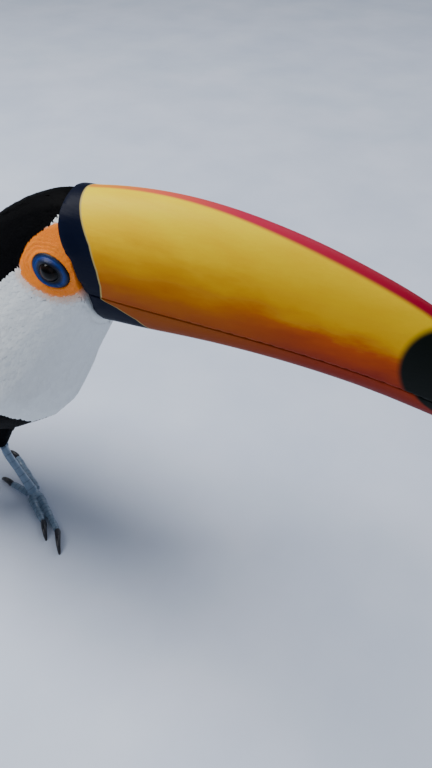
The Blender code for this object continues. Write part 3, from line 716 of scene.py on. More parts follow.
class Skin:
    """The finished skin read back as arrays, with places all over it for feathers to grow from."""

    def __init__(self, rng, spacing):
        obj = bpy.data.objects["skin"]
        points, normals = coordinates(obj), unit(vertex_normals(obj))
        faces = [tuple(p.vertices) for p in obj.data.polygons]
        self.first = np.array([f[0] for f in faces])
        self.third = np.array([f[len(f) // 2] for f in faces])
        self.vertex_normals = normals
        self.tree = surface_tree(obj.data)
        self.vertex_depth = read(obj.data.attributes["depth"].data, "value")
        region = read(obj.data.attributes["region"].data, "value", 1, np.int32)
        # Several places on each face, between opposite corners, thinned later to each spacing.
        corners = np.array([[f[k * len(f) // 4] for k in range(4)] for f in faces])
        area = np.linalg.norm(np.cross(points[corners[:, 2]] - points[corners[:, 0]],
                                       points[corners[:, 3]] - points[corners[:, 1]]), axis=1) / 2
        copies = np.clip(np.ceil(area / MM ** 2 * 2.2 / spacing ** 2), 1, 6).astype(int)
        chosen = np.repeat(np.arange(len(faces)), copies)
        u, v = rng.uniform(0, 1, (2, len(chosen), 1))
        a, b, c, d = (corners[chosen, k] for k in range(4))

        def between(values):
            return (values[a] * (1 - u) + values[b] * u) * (1 - v) + (values[d] * (1 - u) + values[c] * u) * v

        self.points, self.normals = between(points), unit(between(normals))
        self.region = region[a]
        self.straight = straightened(self.points)
        self.share, self.angle, lie = body_place(self.straight)
        lie = rotated(lie, neck_angle(self.straight))

        def down_the_wing(columns):
            behind, rows_behind = -self.straight[:, 0], -WING_ROWS[:, 0]
            return np.stack([np.interp(behind, rows_behind, column) for column in columns], 1)

        wing = self.region == WING
        wing_lie = down_the_wing(unit(np.gradient(WING_ROWS[:, :3], axis=0)).T)
        wing_lie[:, 1] *= np.sign(self.straight[:, 1])
        self.wing_share = down_the_wing([np.linspace(0, 1, len(WING_ROWS))])[:, 0]
        lie[wing] = wing_lie[wing]
        for label, side in SIDES:
            knee, ankle, _ = (np.array(p) for p in LEGS[label])
            lie[(self.region == THIGH) & (np.sign(self.straight[:, 1]) == side)] = unit(ankle - knee)
        self.lie = unit(lie - self.normals * np.sum(lie * self.normals, 1, keepdims=True))
        self.face = on_face(self.straight)


def root_line(z):
    """Where the bill's root is, and where its dark band ends behind it, at these heights."""
    root = BILL_ROOT[0] - BILL_ROOT_SLANT * (z - BILL_ROOT[1]) / BILL_ROOT_RISE
    return root, root - np.interp(z, *np.array(BAND_REACH).T)


def colour_marks(straight, region):
    """White, red and orange shares at straight points: the markings of skin and coat alike."""
    bib = smooth(inside_bib(straight) / EDGE_WIDTH + 0.5)
    rump = smooth(-ahead_of_line(straight, RUMP_LINE) / EDGE_WIDTH + 0.5) * (region == BODY)
    (x0, z0), (x1, z1) = VENT_LINE
    above = straight[:, 2] > z0 + (z1 - z0) * (straight[:, 0] - x0) / (x1 - x0)
    white = np.clip(bib * (region != WING) + rump * above, 0, 1)
    red = rump * ~above
    face = on_face(straight)
    # The face's edge is crisp at the top and fades below, where it warms the bib beside it.
    lower = smooth((260.0 - straight[:, 2]) / 10.0)
    orange = smooth((1.0 - face) / (0.04 + 0.13 * lower) + 0.35)
    warm = smooth((1.30 - face) / 0.30) * lower
    clear = np.where(straight[:, 2] > BAND_FROM,
                     smooth((root_line(straight[:, 2])[1] + 0.4 - straight[:, 0]) / 0.8), 1.0)
    return white * clear, red, orange * clear, warm


def depth_there(straight, region, sizes):
    """How far the skin lies inside the solids, which is as far as the coat stands on it."""
    share, _, _ = body_place(straight)
    depth = np.interp(share, (0.0, 0.16, 0.30, 0.50), (0.7, 0.9, 1.3, sizes.coat_depth / MM))
    depth = np.where(region == WING, 1.5, np.where(region == THIGH, 1.6, depth))
    face = on_face(straight)
    return np.where(face < 1.0, 0.0, np.minimum(depth, np.maximum(face - 1.0, 0.0) * 4.0 + 0.2))


def build_skin(colours, sizes):
    """One skin over all the flesh, as far inside the solids as the coat is deep."""
    copies = []
    for node in FLESH + ("eye_ring_left", "eye_ring_right"):
        obj = copy_node(node, "flesh_" + node)
        if node.startswith("wing"):
            edited(obj, bpy.ops.mesh.bisect, plane_co=((WING_CUT + ORIGIN_SHIFT[0]) * MM, 0, 0),
                   plane_no=(-1, 0, 0), clear_outer=True, use_fill=True)
        swell(obj, SKIN_SWELL)
        copies.append(obj)
    skin = joined(copies, "skin")
    with_modifier(skin, "REMESH", mode="VOXEL", voxel_size=sizes.voxel, adaptivity=0.0)
    with_modifier(skin, "SMOOTH", factor=0.5, iterations=7)
    region = region_of(skin)
    straight = straightened(coordinates(skin))
    depth = evened(skin, depth_there(straight, region, sizes), 4)
    # Below the bib the plumage lies closer, and tucks the breast's lower front edge in.
    from_tuck = np.hypot(straight[:, 0] - TUCK_PLACE[0], straight[:, 2] - TUCK_PLACE[1])
    depth += TUCK_DEPTH * smooth(1.3 - from_tuck / TUCK_REACH)
    set_coordinates(skin, coordinates(skin) - vertex_normals(skin) * (depth + SKIN_SWELL)[:, None] * MM)
    refine_face(skin)
    straight = straightened(coordinates(skin))
    # The finer mesh adds its points after the others, and only on the face.
    region = np.concatenate([region, np.zeros(len(straight) - len(region), int)])
    white, red, orange, warm = colour_marks(straight, region)
    give_values(skin, "depth", depth_there(straight, region, sizes))
    skin.data.attributes.new("region", "INT", "POINT").data.foreach_set("value", region.astype(np.int32))
    give_values(skin, "marks", np.stack([white, red, orange], 1))
    give_values(skin, "warm", warm)
    select_only(skin)
    bpy.ops.object.shade_smooth()
    piece(skin, skin_material(colours), FLESH)


def face_frame(side):
    """The eye's centre in metres, and the ring's along, outward and up directions."""
    slant = math.radians(RING_SLANT)
    return (placed((EYE_PLACE[0], side * EYE_PLACE[1], EYE_PLACE[2]))[0],
            turned(math.cos(slant), 0, -math.sin(slant)), turned(0.0, side, 0.0),
            turned(math.sin(slant), 0, math.cos(slant)))


def refine_face(skin):
    """Finer mesh on the bare face, folds in it, and a shallow seat for the eye."""
    face = on_face(straightened(coordinates(skin)))
    select_only(skin)
    bpy.ops.object.mode_set(mode="EDIT")
    bpy.ops.mesh.select_mode(type="VERT")
    bpy.ops.mesh.select_all(action="DESELECT")
    bpy.ops.object.mode_set(mode="OBJECT")
    skin.data.vertices.foreach_set("select", face < 1.12)
    bpy.ops.object.mode_set(mode="EDIT")
    bpy.ops.mesh.subdivide(number_cuts=1, smoothness=0.0)
    bpy.ops.object.mode_set(mode="OBJECT")
    points, normals = coordinates(skin), vertex_normals(skin)
    for _, side in SIDES:
        centre, along, outward, up = face_frame(side)
        away = points - centre
        a, o, u = away @ along / MM, away @ outward / MM, away @ up / MM
        near = (o > -6.0) & (np.hypot(a, u) < FOLDED_REACH)
        ring = np.hypot(a / RING_RADII[0], u / RING_RADII[1])
        round_eye = np.arctan2(u / RING_RADII[1], a / RING_RADII[0])
        # Folds circle the ring, broken up and fading to the face's edge.
        wave = np.sin(math.tau * (ring * 8.2 / FOLD_SPACING) + 1.3 * np.sin(3 * round_eye + 0.7)
                      + 0.8 * np.sin(7 * round_eye))
        cross = np.sin(round_eye * 26.0 + ring * 4.0)
        fade = smooth((ring - 1.0) / 0.15) * smooth((2.0 - ring) / 0.6)
        fold = (FOLD_DEPTH * wave + CROSS_FOLD_DEPTH * cross) * fade * near
        points += normals * fold[:, None] * MM
        seat = np.where(near & (ring < 1.0), smooth((1.0 - ring) / 0.09), 0.0)
        lower = np.maximum(o + SEAT_DEPTH, 0.0) * seat
        points -= outward[None, :] * lower[:, None] * MM
    set_coordinates(skin, points)


# ---- Eyes --------------------------------------------------------------------------------------
LID_OPENING = (5.05, 4.5)          # along and up
GLOBE = EYE_RADIUS + 0.02          # what the lids slide over
RING_STEPS = 112


def build_eye(label, side):
    """The globe, with its cornea."""
    centre, along, outward, up = face_frame(side)
    eye = sphere(EYE_RADIUS, segments=64, ring_count=40)
    eye.name = eye.data.name = fresh("eyeball_" + label)
    points = coordinates(eye)
    # The cornea bulges by a twentieth in front of the iris.
    bulge = 1.0 + 0.05 * smooth((points[:, 2] / (EYE_RADIUS * MM) - 0.55) / 0.45)
    set_coordinates(eye, (points * bulge[:, None]) @ np.stack([along, up, outward]) + centre)
    edited(eye, bpy.ops.mesh.normals_make_consistent, inside=False)
    bpy.ops.object.shade_smooth()
    piece(eye, eye_material("wet cornea " + label, centre, outward), ("eye_" + label,))


def build_eye_ring(label, side):
    """The swollen ring of skin and the lids, from the face over the globe's edge and back under."""
    centre, along, outward, up = face_frame(side)
    tree = surface_tree(bpy.data.objects["skin"].data)
    turnings = np.linspace(0, math.tau, RING_STEPS, endpoint=False)
    circle = np.stack([np.cos(turnings), np.sin(turnings)], 1)
    outer, opening = circle * RING_RADII, circle * LID_OPENING
    level = []
    for a, u in outer * 1.02:
        start = Vector(centre + (along * a + up * u + outward * 30.0) * MM)
        hit = tree.ray_cast(start, Vector(-outward))[0]
        level.append((np.array(hit) - centre) @ outward / MM if hit else 2.0)
    level = np.array(level)
    for _ in range(4):
        level = 0.5 * level + 0.25 * (np.roll(level, 1) + np.roll(level, -1))
    rows, rim = [], []
    lid = np.sqrt(GLOBE ** 2 - np.sum(opening ** 2, 1)) + 0.35
    for q in np.linspace(1.0, 0.0, 17):
        flat = opening + (outer - opening) * q
        r = np.hypot(flat[:, 0], flat[:, 1])
        ball = np.sqrt(np.maximum(GLOBE ** 2 - r ** 2, 0.0)) + 0.42
        swollen = level + 1.0 * (1.0 - abs(2.0 * q - 1.0) ** 3.5) - 0.35 * (q > 0.98)
        blend = float(smooth((q - 0.06) / 0.62))
        height = lid * (1 - blend) + swollen * blend
        height = np.maximum(height, np.where(r < GLOBE, ball - 0.14, -9.0))
        height += 0.05 * math.sin(q * 30.0) * (0.15 < q < 0.95) * (1 + 0.5 * np.sin(5 * turnings))
        rows.append((flat, height))
        rim.append(0.2 + 0.8 * q)
    # The lid's edge turns in under itself, and the ring closes beneath the skin.
    for shrink, drop, tone in ((0.955, 0.05, 0.12), (0.93, -0.25, 0.05), (0.97, -1.3, 0.02)):
        flat = opening * shrink
        r = np.hypot(flat[:, 0], flat[:, 1])
        rows.append((flat, np.sqrt(GLOBE ** 2 - r ** 2) + 0.28 + drop))
        rim.append(tone)
    for q, drop in ((0.5, -2.6), (1.0, -1.6)):
        rows.append((opening + (outer - opening) * q, level + drop))
        rim.append(1.0)
    points = np.array([centre + (np.outer(flat[:, 0], along) + np.outer(flat[:, 1], up)
                                 + np.outer(height, outward)) * MM for flat, height in rows])
    i, j = np.meshgrid(np.arange(len(rows)), np.arange(RING_STEPS), indexing="ij")
    i2, j2 = (i + 1) % len(rows), (j + 1) % RING_STEPS
    corners = [i * RING_STEPS + j, i * RING_STEPS + j2, i2 * RING_STEPS + j2, i2 * RING_STEPS + j]
    ring = quads_object("orbital_skin_" + label, points.reshape(-1, 3), np.stack(corners, -1).reshape(-1, 4))
    give_values(ring, "rim", np.repeat(rim, RING_STEPS))
    piece(ring, ring_material(), ("eye_ring_" + label,))


# ---- Plumage -----------------------------------------------------------------------------------
# A small feather's section: edges, raised shaft and underside, as shares of its half width and depth.
VANE = ((-1.0, -0.4), (0.0, 0.6), (1.0, -0.4), (0.0, -0.9))


def thinned(points, spacing, rng):
    """Which points to keep, so that no two are closer together than their spacing in metres."""
    cell = float(spacing.max())
    keys = [tuple(k) for k in np.floor(points / cell).astype(int)]
    near = [(a, b, c) for a in (-1, 0, 1) for b in (-1, 0, 1) for c in (-1, 0, 1)]
    places = points.tolist()
    gaps = (spacing ** 2).tolist()
    grid, kept = {}, []

    def free(i):
        x, y, z = places[i]
        kx, ky, kz = keys[i]
        for a, b, c in near:
            for other in grid.get((kx + a, ky + b, kz + c), ()):
                px, py, pz = places[other]
                if (px - x) ** 2 + (py - y) ** 2 + (pz - z) ** 2 < gaps[i]:
                    return False
        return True

    for i in rng.permutation(len(points)).tolist():
        if free(i):
            grid.setdefault(keys[i], []).append(i)
            kept.append(i)
    return np.array(sorted(kept))


def laid(skin, roots, lies, lengths, steps):
    """Walks each feather along the skin: its line, the skin's normals and coat depth under it."""
    n = len(roots)
    line, normal = np.zeros((n, steps + 1, 3)), np.zeros((n, steps + 1, 3))
    depth = np.zeros((n, steps + 1))
    for i in range(n):
        way, step = Vector(lies[i]), lengths[i] / steps
        place, _, face, _ = skin.tree.find_nearest(Vector(roots[i]))
        for k in range(steps + 1):
            one, two = skin.first[face], skin.third[face]
            up = Vector(skin.vertex_normals[one] + skin.vertex_normals[two]).normalized()
            line[i, k], normal[i, k] = place, up
            depth[i, k] = skin.vertex_depth[one]
            way = (way - up * way.dot(up)).normalized()
            if k < steps:
                place, _, face, _ = skin.tree.find_nearest(place + way * step)
    return line, normal, depth


def coat(name, skin, chosen, material, rng, spacing, length, width, steps=3, scatter=0.06,
         outline=(0.5, 1.0, 0.9, 0.25), lean=0.12, settle=0.7, turn=0.78, blush=None, under=None):
    """Overlapping feathers over the chosen places on the skin, whose tips reach the coat's own
    depth. Sizes are millimetres for each place. settle is the share of a feather's length at which
    it reaches that depth, and under lowers those that lie under feathers of another colour."""
    index = np.nonzero(chosen)[0]
    index = index[thinned(skin.points[index], spacing[index] * MM, rng)]
    n = len(index)
    lies = skin.lie[index] + rng.normal(0.0, scatter, (n, 3))
    lengths = length[index] * rng.uniform(0.88, 1.12, n) * MM
    line, normal, depth = laid(skin, skin.points[index], lies, lengths, steps)
    # None grows where it would have to turn further than this over an edge.
    flat = np.min(np.sum(normal * normal[:, :1], 2), axis=1) > turn
    index, lengths, line, normal, depth = (values[flat] for values in (index, lengths, line, normal, depth))
    n = len(index)
    shares = np.linspace(0.0, 1.0, steps + 1)
    profile = np.interp(shares, (0.0, settle, 1.0), (-0.2, 0.74, 0.92))
    rise = depth * rng.uniform(0.92, 1.04, n)[:, None] * MM
    if under is not None:
        rise *= under[index, None]
    centre = line + normal * (rise * profile)[..., None]
    along = unit(np.gradient(centre, axis=1))
    side = unit(np.cross(along, normal))
    half = (width[index] * rng.uniform(0.88, 1.12, n) / 2 * MM)[:, None] * np.interp(
        shares, np.linspace(0, 1, len(outline)), outline)
    # Each feather lies at its own small tilt, which breaks the sheen up as real plumage does.
    tilt = unit(normal + side * rng.normal(0.0, 0.035, (n, 1, 1)) + along * rng.normal(0.03, 0.03, (n, 1, 1)))
    obj = swept(name, centre, side, tilt, half, VANE, 0.04 * MM + 0.035 * half, lean)
    root_uv = np.stack([0.02 + 0.96 * skin.share[index], 0.02 + 0.96 * skin.angle[index]], 1)
    give_vane_values(obj, VANE, half, lengths, rng.uniform(0, 1, n), root_uv)
    if blush is not None:
        give_values(obj, "blush", np.repeat(blush[index], (steps + 1) * len(VANE)))
    piece(obj, material)


def plumage_materials(colours):
    return {
        # Long vanes are dull even when seen along them, or their flat sheets would turn pale.
        "black_vanes": feather_material("black flight feather keratin", "#0C0D13", "#040406", 0.7, 0.0),
        "black_plumage": feather_material("black feather keratin", colours.black_hex, "#010102", 0.62, 0.04),
        "white_plumage": feather_material("white feather keratin", colours.white_hex, "#E6EAEA", 0.8, 0.15,
                                          0.04),
        "red_plumage": feather_material("red feather keratin", colours.red_hex, "#7A0E0A", 0.62, 0.25,
                                        0.1, "#FF8060"),
    }


def build_plumage(colours, sizes, which):
    """Small feathers of the head, body or rear, by the markings at their roots."""
    # What is added to the seed, and the closest spacing asked for below.
    extra, closest = {"head": (0, 0.8), "body": (1, 0.9), "rear": (2, 1.6)}[which]
    rng = np.random.default_rng(sizes.seed + extra)
    skin = Skin(rng, closest)
    paint = plumage_materials(colours)
    share = skin.share
    every = np.ones(len(share))
    body, thigh = skin.region == BODY, skin.region == THIGH
    front = (share < 0.36) & (skin.straight[:, 0] > 10)
    low_face = skin.straight[:, 2] < 257.0
    near_face = smooth((skin.face - 0.95) / 0.6)
    from_edge = np.abs(inside_bib(skin.straight))
    # Feathers are small beside the face, at the bill's root and along the bib's edge.
    small = (np.minimum(0.4 + 0.6 * near_face, 0.5 + 0.5 * smooth(share / 0.06))
             * (0.5 + 0.5 * smooth(from_edge / 7.0)))
    large = 0.3 + 0.7 * smooth(from_edge / 24.0)        # and grow over 24 mm away from that edge
    length = np.minimum((4.0 + 21.0 * np.minimum(share, 0.45)) * small, 14.0 * large)
    # A feather's colour is that of the place its tip covers, so the markings' edges stay true. Where
    # its root lies under feathers of another colour it stays low, and they cover it up to the edge.
    tips = straightened(skin.points + skin.lie * (0.85 * length * MM)[:, None])
    white, red, _, warm = colour_marks(tips, skin.region)
    under = np.where(np.abs(colour_marks(skin.straight, skin.region)[0] - white) > 0.5, 0.5, 1.0)
    bare = (skin.face < 1.0) & ~((skin.face > 0.94) & low_face) | (on_face(tips) < 0.985) & ~low_face
    bare |= (skin.normals @ turned(1.0, 0.0, 0.0) > 0.6) & (share < 0.04)
    black = body & ~bare & (white < 0.5) & (red < 0.5)
    if which == "head":
        coat("crown_feathers", skin, black & front, paint["black_plumage"], rng,
             spacing=(1.0 + 2.6 * np.maximum(share - 0.08, 0.0)) * (0.6 + 0.4 * small),
             length=length, width=(1.9 + 8.0 * share) * (0.4 + 0.6 * small), under=under,
             lean=0.1, settle=0.33)
        bib = body & ~bare & (white >= 0.5) & (share < 0.7)
        for label, side in SIDES:
            here = bib & (np.sign(skin.straight[:, 1] + 1e-9) == side)
            coat("bib_feathers_" + label, skin, here, paint["white_plumage"], rng,
                 spacing=(1.0 + 1.0 * np.minimum(share, 0.4)) * (0.65 + 0.35 * small),
                 length=length, width=(2.1 + 4.0 * share) * (0.45 + 0.55 * small), under=under,
                 lean=0.08, settle=0.33, blush=0.8 * warm * (white > 0.5))
    if which == "body":
        top = skin.angle > 0.5
        coat("mantle_feathers", skin, black & ~front & top, paint["black_plumage"], rng,
             spacing=2.4 * large, length=1.1 * length, width=(5.2 + 3 * share) * large, under=under,
             outline=(0.5, 1.0, 0.95, 0.3), lean=0.2)
        coat("belly_feathers", skin, black & ~front & ~top, paint["black_plumage"], rng,
             spacing=2.1 * large, length=length, width=4.2 * large, scatter=0.08, lean=0.15, settle=0.4,
             under=under)
    if which == "rear":
        for label, side in SIDES:
            here = thigh & (np.sign(skin.straight[:, 1]) == side)
            coat("thigh_feathers_" + label, skin, here, paint["black_plumage"], rng,
                 spacing=1.5 * every, length=9.0 * every, width=2.8 * every, scatter=0.12, lean=0.2,
                 turn=-0.2)
        rump, vent = body & (white >= 0.5) & (share > 0.7), body & (red >= 0.5)
        for name, here, slot, width, scatter in (
                ("upper_tail_coverts", rump, "white_plumage", 4.6, 0.06),
                ("under_tail_coverts", vent, "red_plumage", 4.2, 0.10)):
            coat(name, skin, here, paint[slot], rng, spacing=1.9 * every, width=width * every,
                 length=14.0 + 20 * np.clip((share - 0.86) / 0.14, 0, 1), scatter=scatter, under=under)


# ---- Wings and tail ----------------------------------------------------------------------------
# A long feather's section, with its raised shaft in the middle, and its outline along its length.
LONG_VANE = ((-1.0, -0.25), (-0.5, 0.05), (-0.07, 0.15), (0.0, 1.0), (0.07, 0.15), (0.5, 0.05),
             (1.0, -0.25), (0.5, -0.45), (0.0, -0.55), (-0.5, -0.45))
LONG_OUTLINE = ((0.0, 0.22), (0.08, 0.7), (0.3, 0.95), (0.6, 1.0), (0.82, 0.93), (0.92, 0.74),
                (0.975, 0.42), (1.0, 0.10))
# The folded wing's rows of long feathers, from the top: how many, then the first one's start and
# place across there, its end and place across there, half width and lift, then the change to the next.
WING_FEATHERS = (
    (3, (0.40, 0.80, 0.67, 0.62, 8.2, 0.55), (0.0, -0.10, 0.035, -0.1, 0.0, -0.12)),
    (8, (0.40, 0.50, 0.70, 0.35, 6.2, 0.15), (0.0, -0.17, -0.004, -0.16, 0.0, -0.1)),
    (8, (0.48, -0.30, 1.0, 0.35, 5.2, -0.9), (0.0, -0.06, -0.026, -0.16, 0.0, -0.12)),
)


def long_vanes(name, feathers, material, rng, replaces=(), shaft=0.55, taper=0.6):
    """Long feathers with a raised shaft. Each is its line and up directions, ring by ring in
    metres, its half width in millimetres and its root's place on the bake map."""
    lines, ups, half_widths, roots = (np.array(values) for values in zip(*feathers))
    shares = np.linspace(0, 1, lines.shape[1])
    side = unit(np.cross(unit(np.gradient(lines, axis=1)), ups))
    half = half_widths[:, None] * np.interp(shares, *np.array(LONG_OUTLINE).T) * MM
    lift = np.broadcast_to(shaft * MM * (1 - taper * shares), half.shape)
    obj = swept(name, lines, side, ups, half, LONG_VANE, lift)
    lengths = np.linalg.norm(np.diff(lines, axis=1), axis=2).sum(1)
    give_vane_values(obj, LONG_VANE, half, lengths, rng.uniform(0, 1, len(lines)), roots)
    piece(obj, material, replaces)


def build_wing(label, side, colours, sizes):
    """One folded wing's small coverts and its rows of long feathers."""
    rng = np.random.default_rng(sizes.seed + 20 + side)
    skin = Skin(rng, 2.0)
    paint = plumage_materials(colours)
    here = (skin.region == WING) & (np.sign(skin.straight[:, 1]) == side)
    s = skin.wing_share
    coat("wing_coverts_" + label, skin, here & (s < 0.62), paint["black_plumage"], rng,
         spacing=np.interp(s, (0.0, 0.25, 0.5), (2.0, 3.0, 4.4)),
         length=np.interp(s, (0, 0.25, 0.5), (8, 14, 24)),
         width=np.interp(s, (0, 0.25, 0.5), (4.5, 7.5, 11.0)), scatter=0.04,
         outline=(0.55, 1.0, 1.0, 0.4), lean=0.2)
    feathers = []
    along = np.linspace(0, 1, 16)
    for count, first, change in WING_FEATHERS:
        for i in range(count):
            start, start_across, end, end_across, width, lift = (a + i * b for a, b in zip(first, change))
            share = np.linspace(start, end, len(along))
            across = start_across + (end_across - start_across) * smooth(along)
            line = wing_point(side, share, across, lift)
            nudge = wing_point(side, share, across + 0.04, lift) - line
            up = unit(np.cross(np.gradient(line, axis=0), nudge))
            feathers.append((placed(line), up * np.sign(up[:, 1:2] * side), width,
                             (0.1 + 0.8 * start, 0.5 + 0.3 * start_across)))
    long_vanes("flight_feathers_" + label, feathers, paint["black_vanes"], rng)


def build_tail(colours, sizes):
    """Ten long feathers, hardly fanned."""
    rng = np.random.default_rng(sizes.seed + 30)
    root = np.array(TAIL_ROOT)
    back = np.array((-math.cos(TAIL_DROOP), 0.0, -math.sin(TAIL_DROOP)))
    up = np.array((-math.sin(TAIL_DROOP), 0.0, math.cos(TAIL_DROOP)))
    shares = np.linspace(0, 1, 22)
    feathers, nodes = [], []
    for label, side in SIDES:
        for place in range(5):
            fan = math.radians(side * TAIL_FAN * (place + 0.5))
            along = back * math.cos(fan) + np.array((0.0, math.sin(fan), 0.0))
            length = TAIL_LENGTH - 3.0 * place ** 1.3
            # The feathers lie under one another by turns, left over right, and bend down a little.
            under = TAIL_LAYER * (2 * place + (side < 0))
            level = root - up * under + np.array((0.0, side * TAIL_ROOT_STEP * place, 0.0))
            line = level + along * (length * shares)[:, None] - up * (TAIL_BEND * shares ** 2)[:, None]
            feathers.append((placed(line), np.tile(up, (len(shares), 1)), TAIL_FEATHER_WIDTH / 2,
                             (0.9, 0.5 + 0.05 * side * (place + 1))))
            nodes.append(f"tail_feather_{label}_{place + 1}")
    long_vanes("tail_feathers", feathers, plumage_materials(colours)["black_vanes"], rng, nodes,
               shaft=0.85, taper=0.1)


# ---- Bill --------------------------------------------------------------------------------------
RIDGE_STEP = 3.0                   # the ridge's height is read off the finished surface this far apart
RIDGE_STEPS = 70
NOTCH_SPACING = 5.3                # between the uneven notches of the cutting edge
SPOT_SIZE = 22.0
# For each half: how far ahead of the root the dark band's front edge lies at shares of the height
# there, the black spot's middle and reach ahead and in height, its notches' depth, and how far the
# cutting edge is drawn in.
BILL_HALVES = {
    "bill_upper": (((0.0, 0.17, 0.35, 0.60, 0.84, 1.0), (8.0, 10.4, 11.0, 9.7, 5.6, 3.2)),
                   (163.0, 25.0, 0.36, 0.66), 0.34, -0.13),
    "bill_lower": (((0.0, 0.33, 0.59, 0.83, 0.92, 1.0), (27.0, 26.0, 22.5, 13.7, 7.5, 6.0)),
                   (166.0, 21.0, 1.3, 0.9), -0.2, 0.13),
}


def horn_mesh(node):
    """A smooth copy of one half of the bill, with its sharp edges kept."""
    bill = copy_node(node, "horn_" + node)
    bpy.ops.object.mode_set(mode="EDIT")
    bpy.ops.mesh.select_all(action="SELECT")
    bpy.ops.mesh.tris_convert_to_quads()
    bpy.ops.mesh.select_all(action="DESELECT")
    bpy.ops.mesh.edges_select_sharp(sharpness=math.radians(55))
    bpy.ops.transform.edge_crease(value=0.8)
    bpy.ops.object.mode_set(mode="OBJECT")
    return with_modifier(bill, "SUBSURF", levels=3, render_levels=3)


def over_the_face(straight, normals):
    """How far each point of the upper half moves, in metres, as the dark band's rear edge lies over
    the face skin, further back towards the top."""
    root, behind = root_line(straight[:, 2])
    near = 1.0 - smooth((straight[:, 0] - root) / 7.0)
    back = (behind - root) * near
    over = np.interp(straight[:, 2], (284.0, 290.0), (0.7, 0.15)) * near * smooth(-back / 1.5)
    return (turned(1.0, 0.0, 0.0) * back[:, None] + normals * over[:, None]) * MM


def build_bill(colours):
    """Both halves: band, spot and growth are laid out by the way along the bill and up its side."""
    lines = through(BILL_LINES, 161)
    for node, slot in (("bill_upper", "bill_horn"), ("bill_lower", "lower_bill_horn")):
        upper = node == "bill_upper"
        band, (spot_at, spot_reach, spot_height, spot_rise), notch_depth, drawn_in = BILL_HALVES[node]
        bill = horn_mesh(node)
        points = coordinates(bill)
        if upper:
            points += over_the_face(straightened(points), vertex_normals(bill))
        straight = straightened(points)
        z = straight[:, 2] - BILL_ROOT[1]
        share = (straight[:, 0] - BILL_ROOT[0]) / BILL_LENGTH
        for _ in range(4):
            slant = BILL_ROOT_SLANT * z / BILL_ROOT_RISE * np.clip(1.0 - share / 0.35, 0.0, 1.0)
            share = (straight[:, 0] - BILL_ROOT[0] + slant) / BILL_LENGTH
        culmen, edge, under = (np.interp(share, lines[:, 0], lines[:, c]) for c in (1, 2, 3))
        ahead = share * BILL_LENGTH
        # The ridge's true height over the culmen line.
        steps = np.clip((ahead / RIDGE_STEP).astype(int), 0, RIDGE_STEPS - 1)
        tops = np.full(RIDGE_STEPS, -1e9)
        np.maximum.at(tops, steps, z - culmen)
        filled = np.nonzero(tops > -1e8)[0]
        crest = culmen + np.interp(ahead, filled * RIDGE_STEP + RIDGE_STEP / 2, tops[filled])
        low, high = (edge, culmen) if upper else (under, edge)
        height = (z - low) / (high - low)
        ridge = np.hypot((straight[:, 1] - 2.2) * 0.8, np.maximum(crest - z, 0.0) * 0.8)
        # Small uneven notches along the cutting edge of the forward two thirds.
        notch = np.maximum(np.sin(ahead * math.tau / NOTCH_SPACING + 1.5 * np.sin(ahead * 0.21)), 0.0) ** 2
        near_edge = np.clip(1.0 - (height if upper else 1.0 - height) / 0.09, 0, 1)
        fade = smooth((ahead - 30.0) / 30.0) * smooth((180.0 - ahead) / 20.0)
        points[:, 2] += (notch_depth * notch * fade + drawn_in) * near_edge * MM
        set_coordinates(bill, points)
        front = np.interp(height, *band)
        from_spot = np.hypot((ahead - spot_at) / spot_reach, (height - spot_height) / spot_rise)
        spot = SPOT_SIZE * (1.0 - from_spot)
        give_values(bill, "horn", np.stack([ahead, height, ridge], 1))
        give_values(bill, "band", front - ahead)
        give_values(bill, "spot", spot)
        select_only(bill)
        bpy.ops.object.shade_smooth_by_angle(angle=math.radians(38))
        piece(bill, bill_material(node + " horn", upper, colours), (node,))


# ---- Feet --------------------------------------------------------------------------------------
FOOT_POINTS = {"left": -24.5, "right": 2.0}     # which way each foot points
# Each toe's angle from there, its length, and how far to the side it starts.
TOES = ((0.0, 41.0, 3.4), (182.5, 43.0, 4.0), (0.0, 28.0, -2.8), (-154.0, 20.0, -1.6))
TOE_HEIGHT = 2.6
SHANK_PLATE, TOE_PLATE = 6.6, 4.1               # from one scale's seam to the next
FOOT_SWELL = 0.2
FOOT_VOXEL = 0.55
SHANK_RISE = 7.0                                # how far the shank goes on up inside the thigh's feathers
CLAW_SWELL = 0.4                                # what the claws lose as their mesh is smoothed
# The knuckle that the four toes and the shank meet in: its radius, scale, and place from the shank's end.
KNUCKLE = (4.3, (1.25, 1.0, 0.86), (1.2, 0.0, -3.2))


def foot_lines(label, side):
    """The shank's line and each toe's, as start and end in straight millimetres."""
    _, ankle, root = (np.array(p) for p in LEGS[label])
    foot = math.radians(FOOT_POINTS[label])
    found = [(ankle, root)]
    for angle, length, offset in TOES:
        way = math.radians(FOOT_POINTS[label] + side * angle)
        along = np.array((math.cos(way), math.sin(way), 0.0))
        start = root + np.array((-math.sin(foot), math.cos(foot), 0.0)) * offset * side
        start[2] = TOE_HEIGHT
        found.append((start + along * 3.5, start + along * length))
    return found


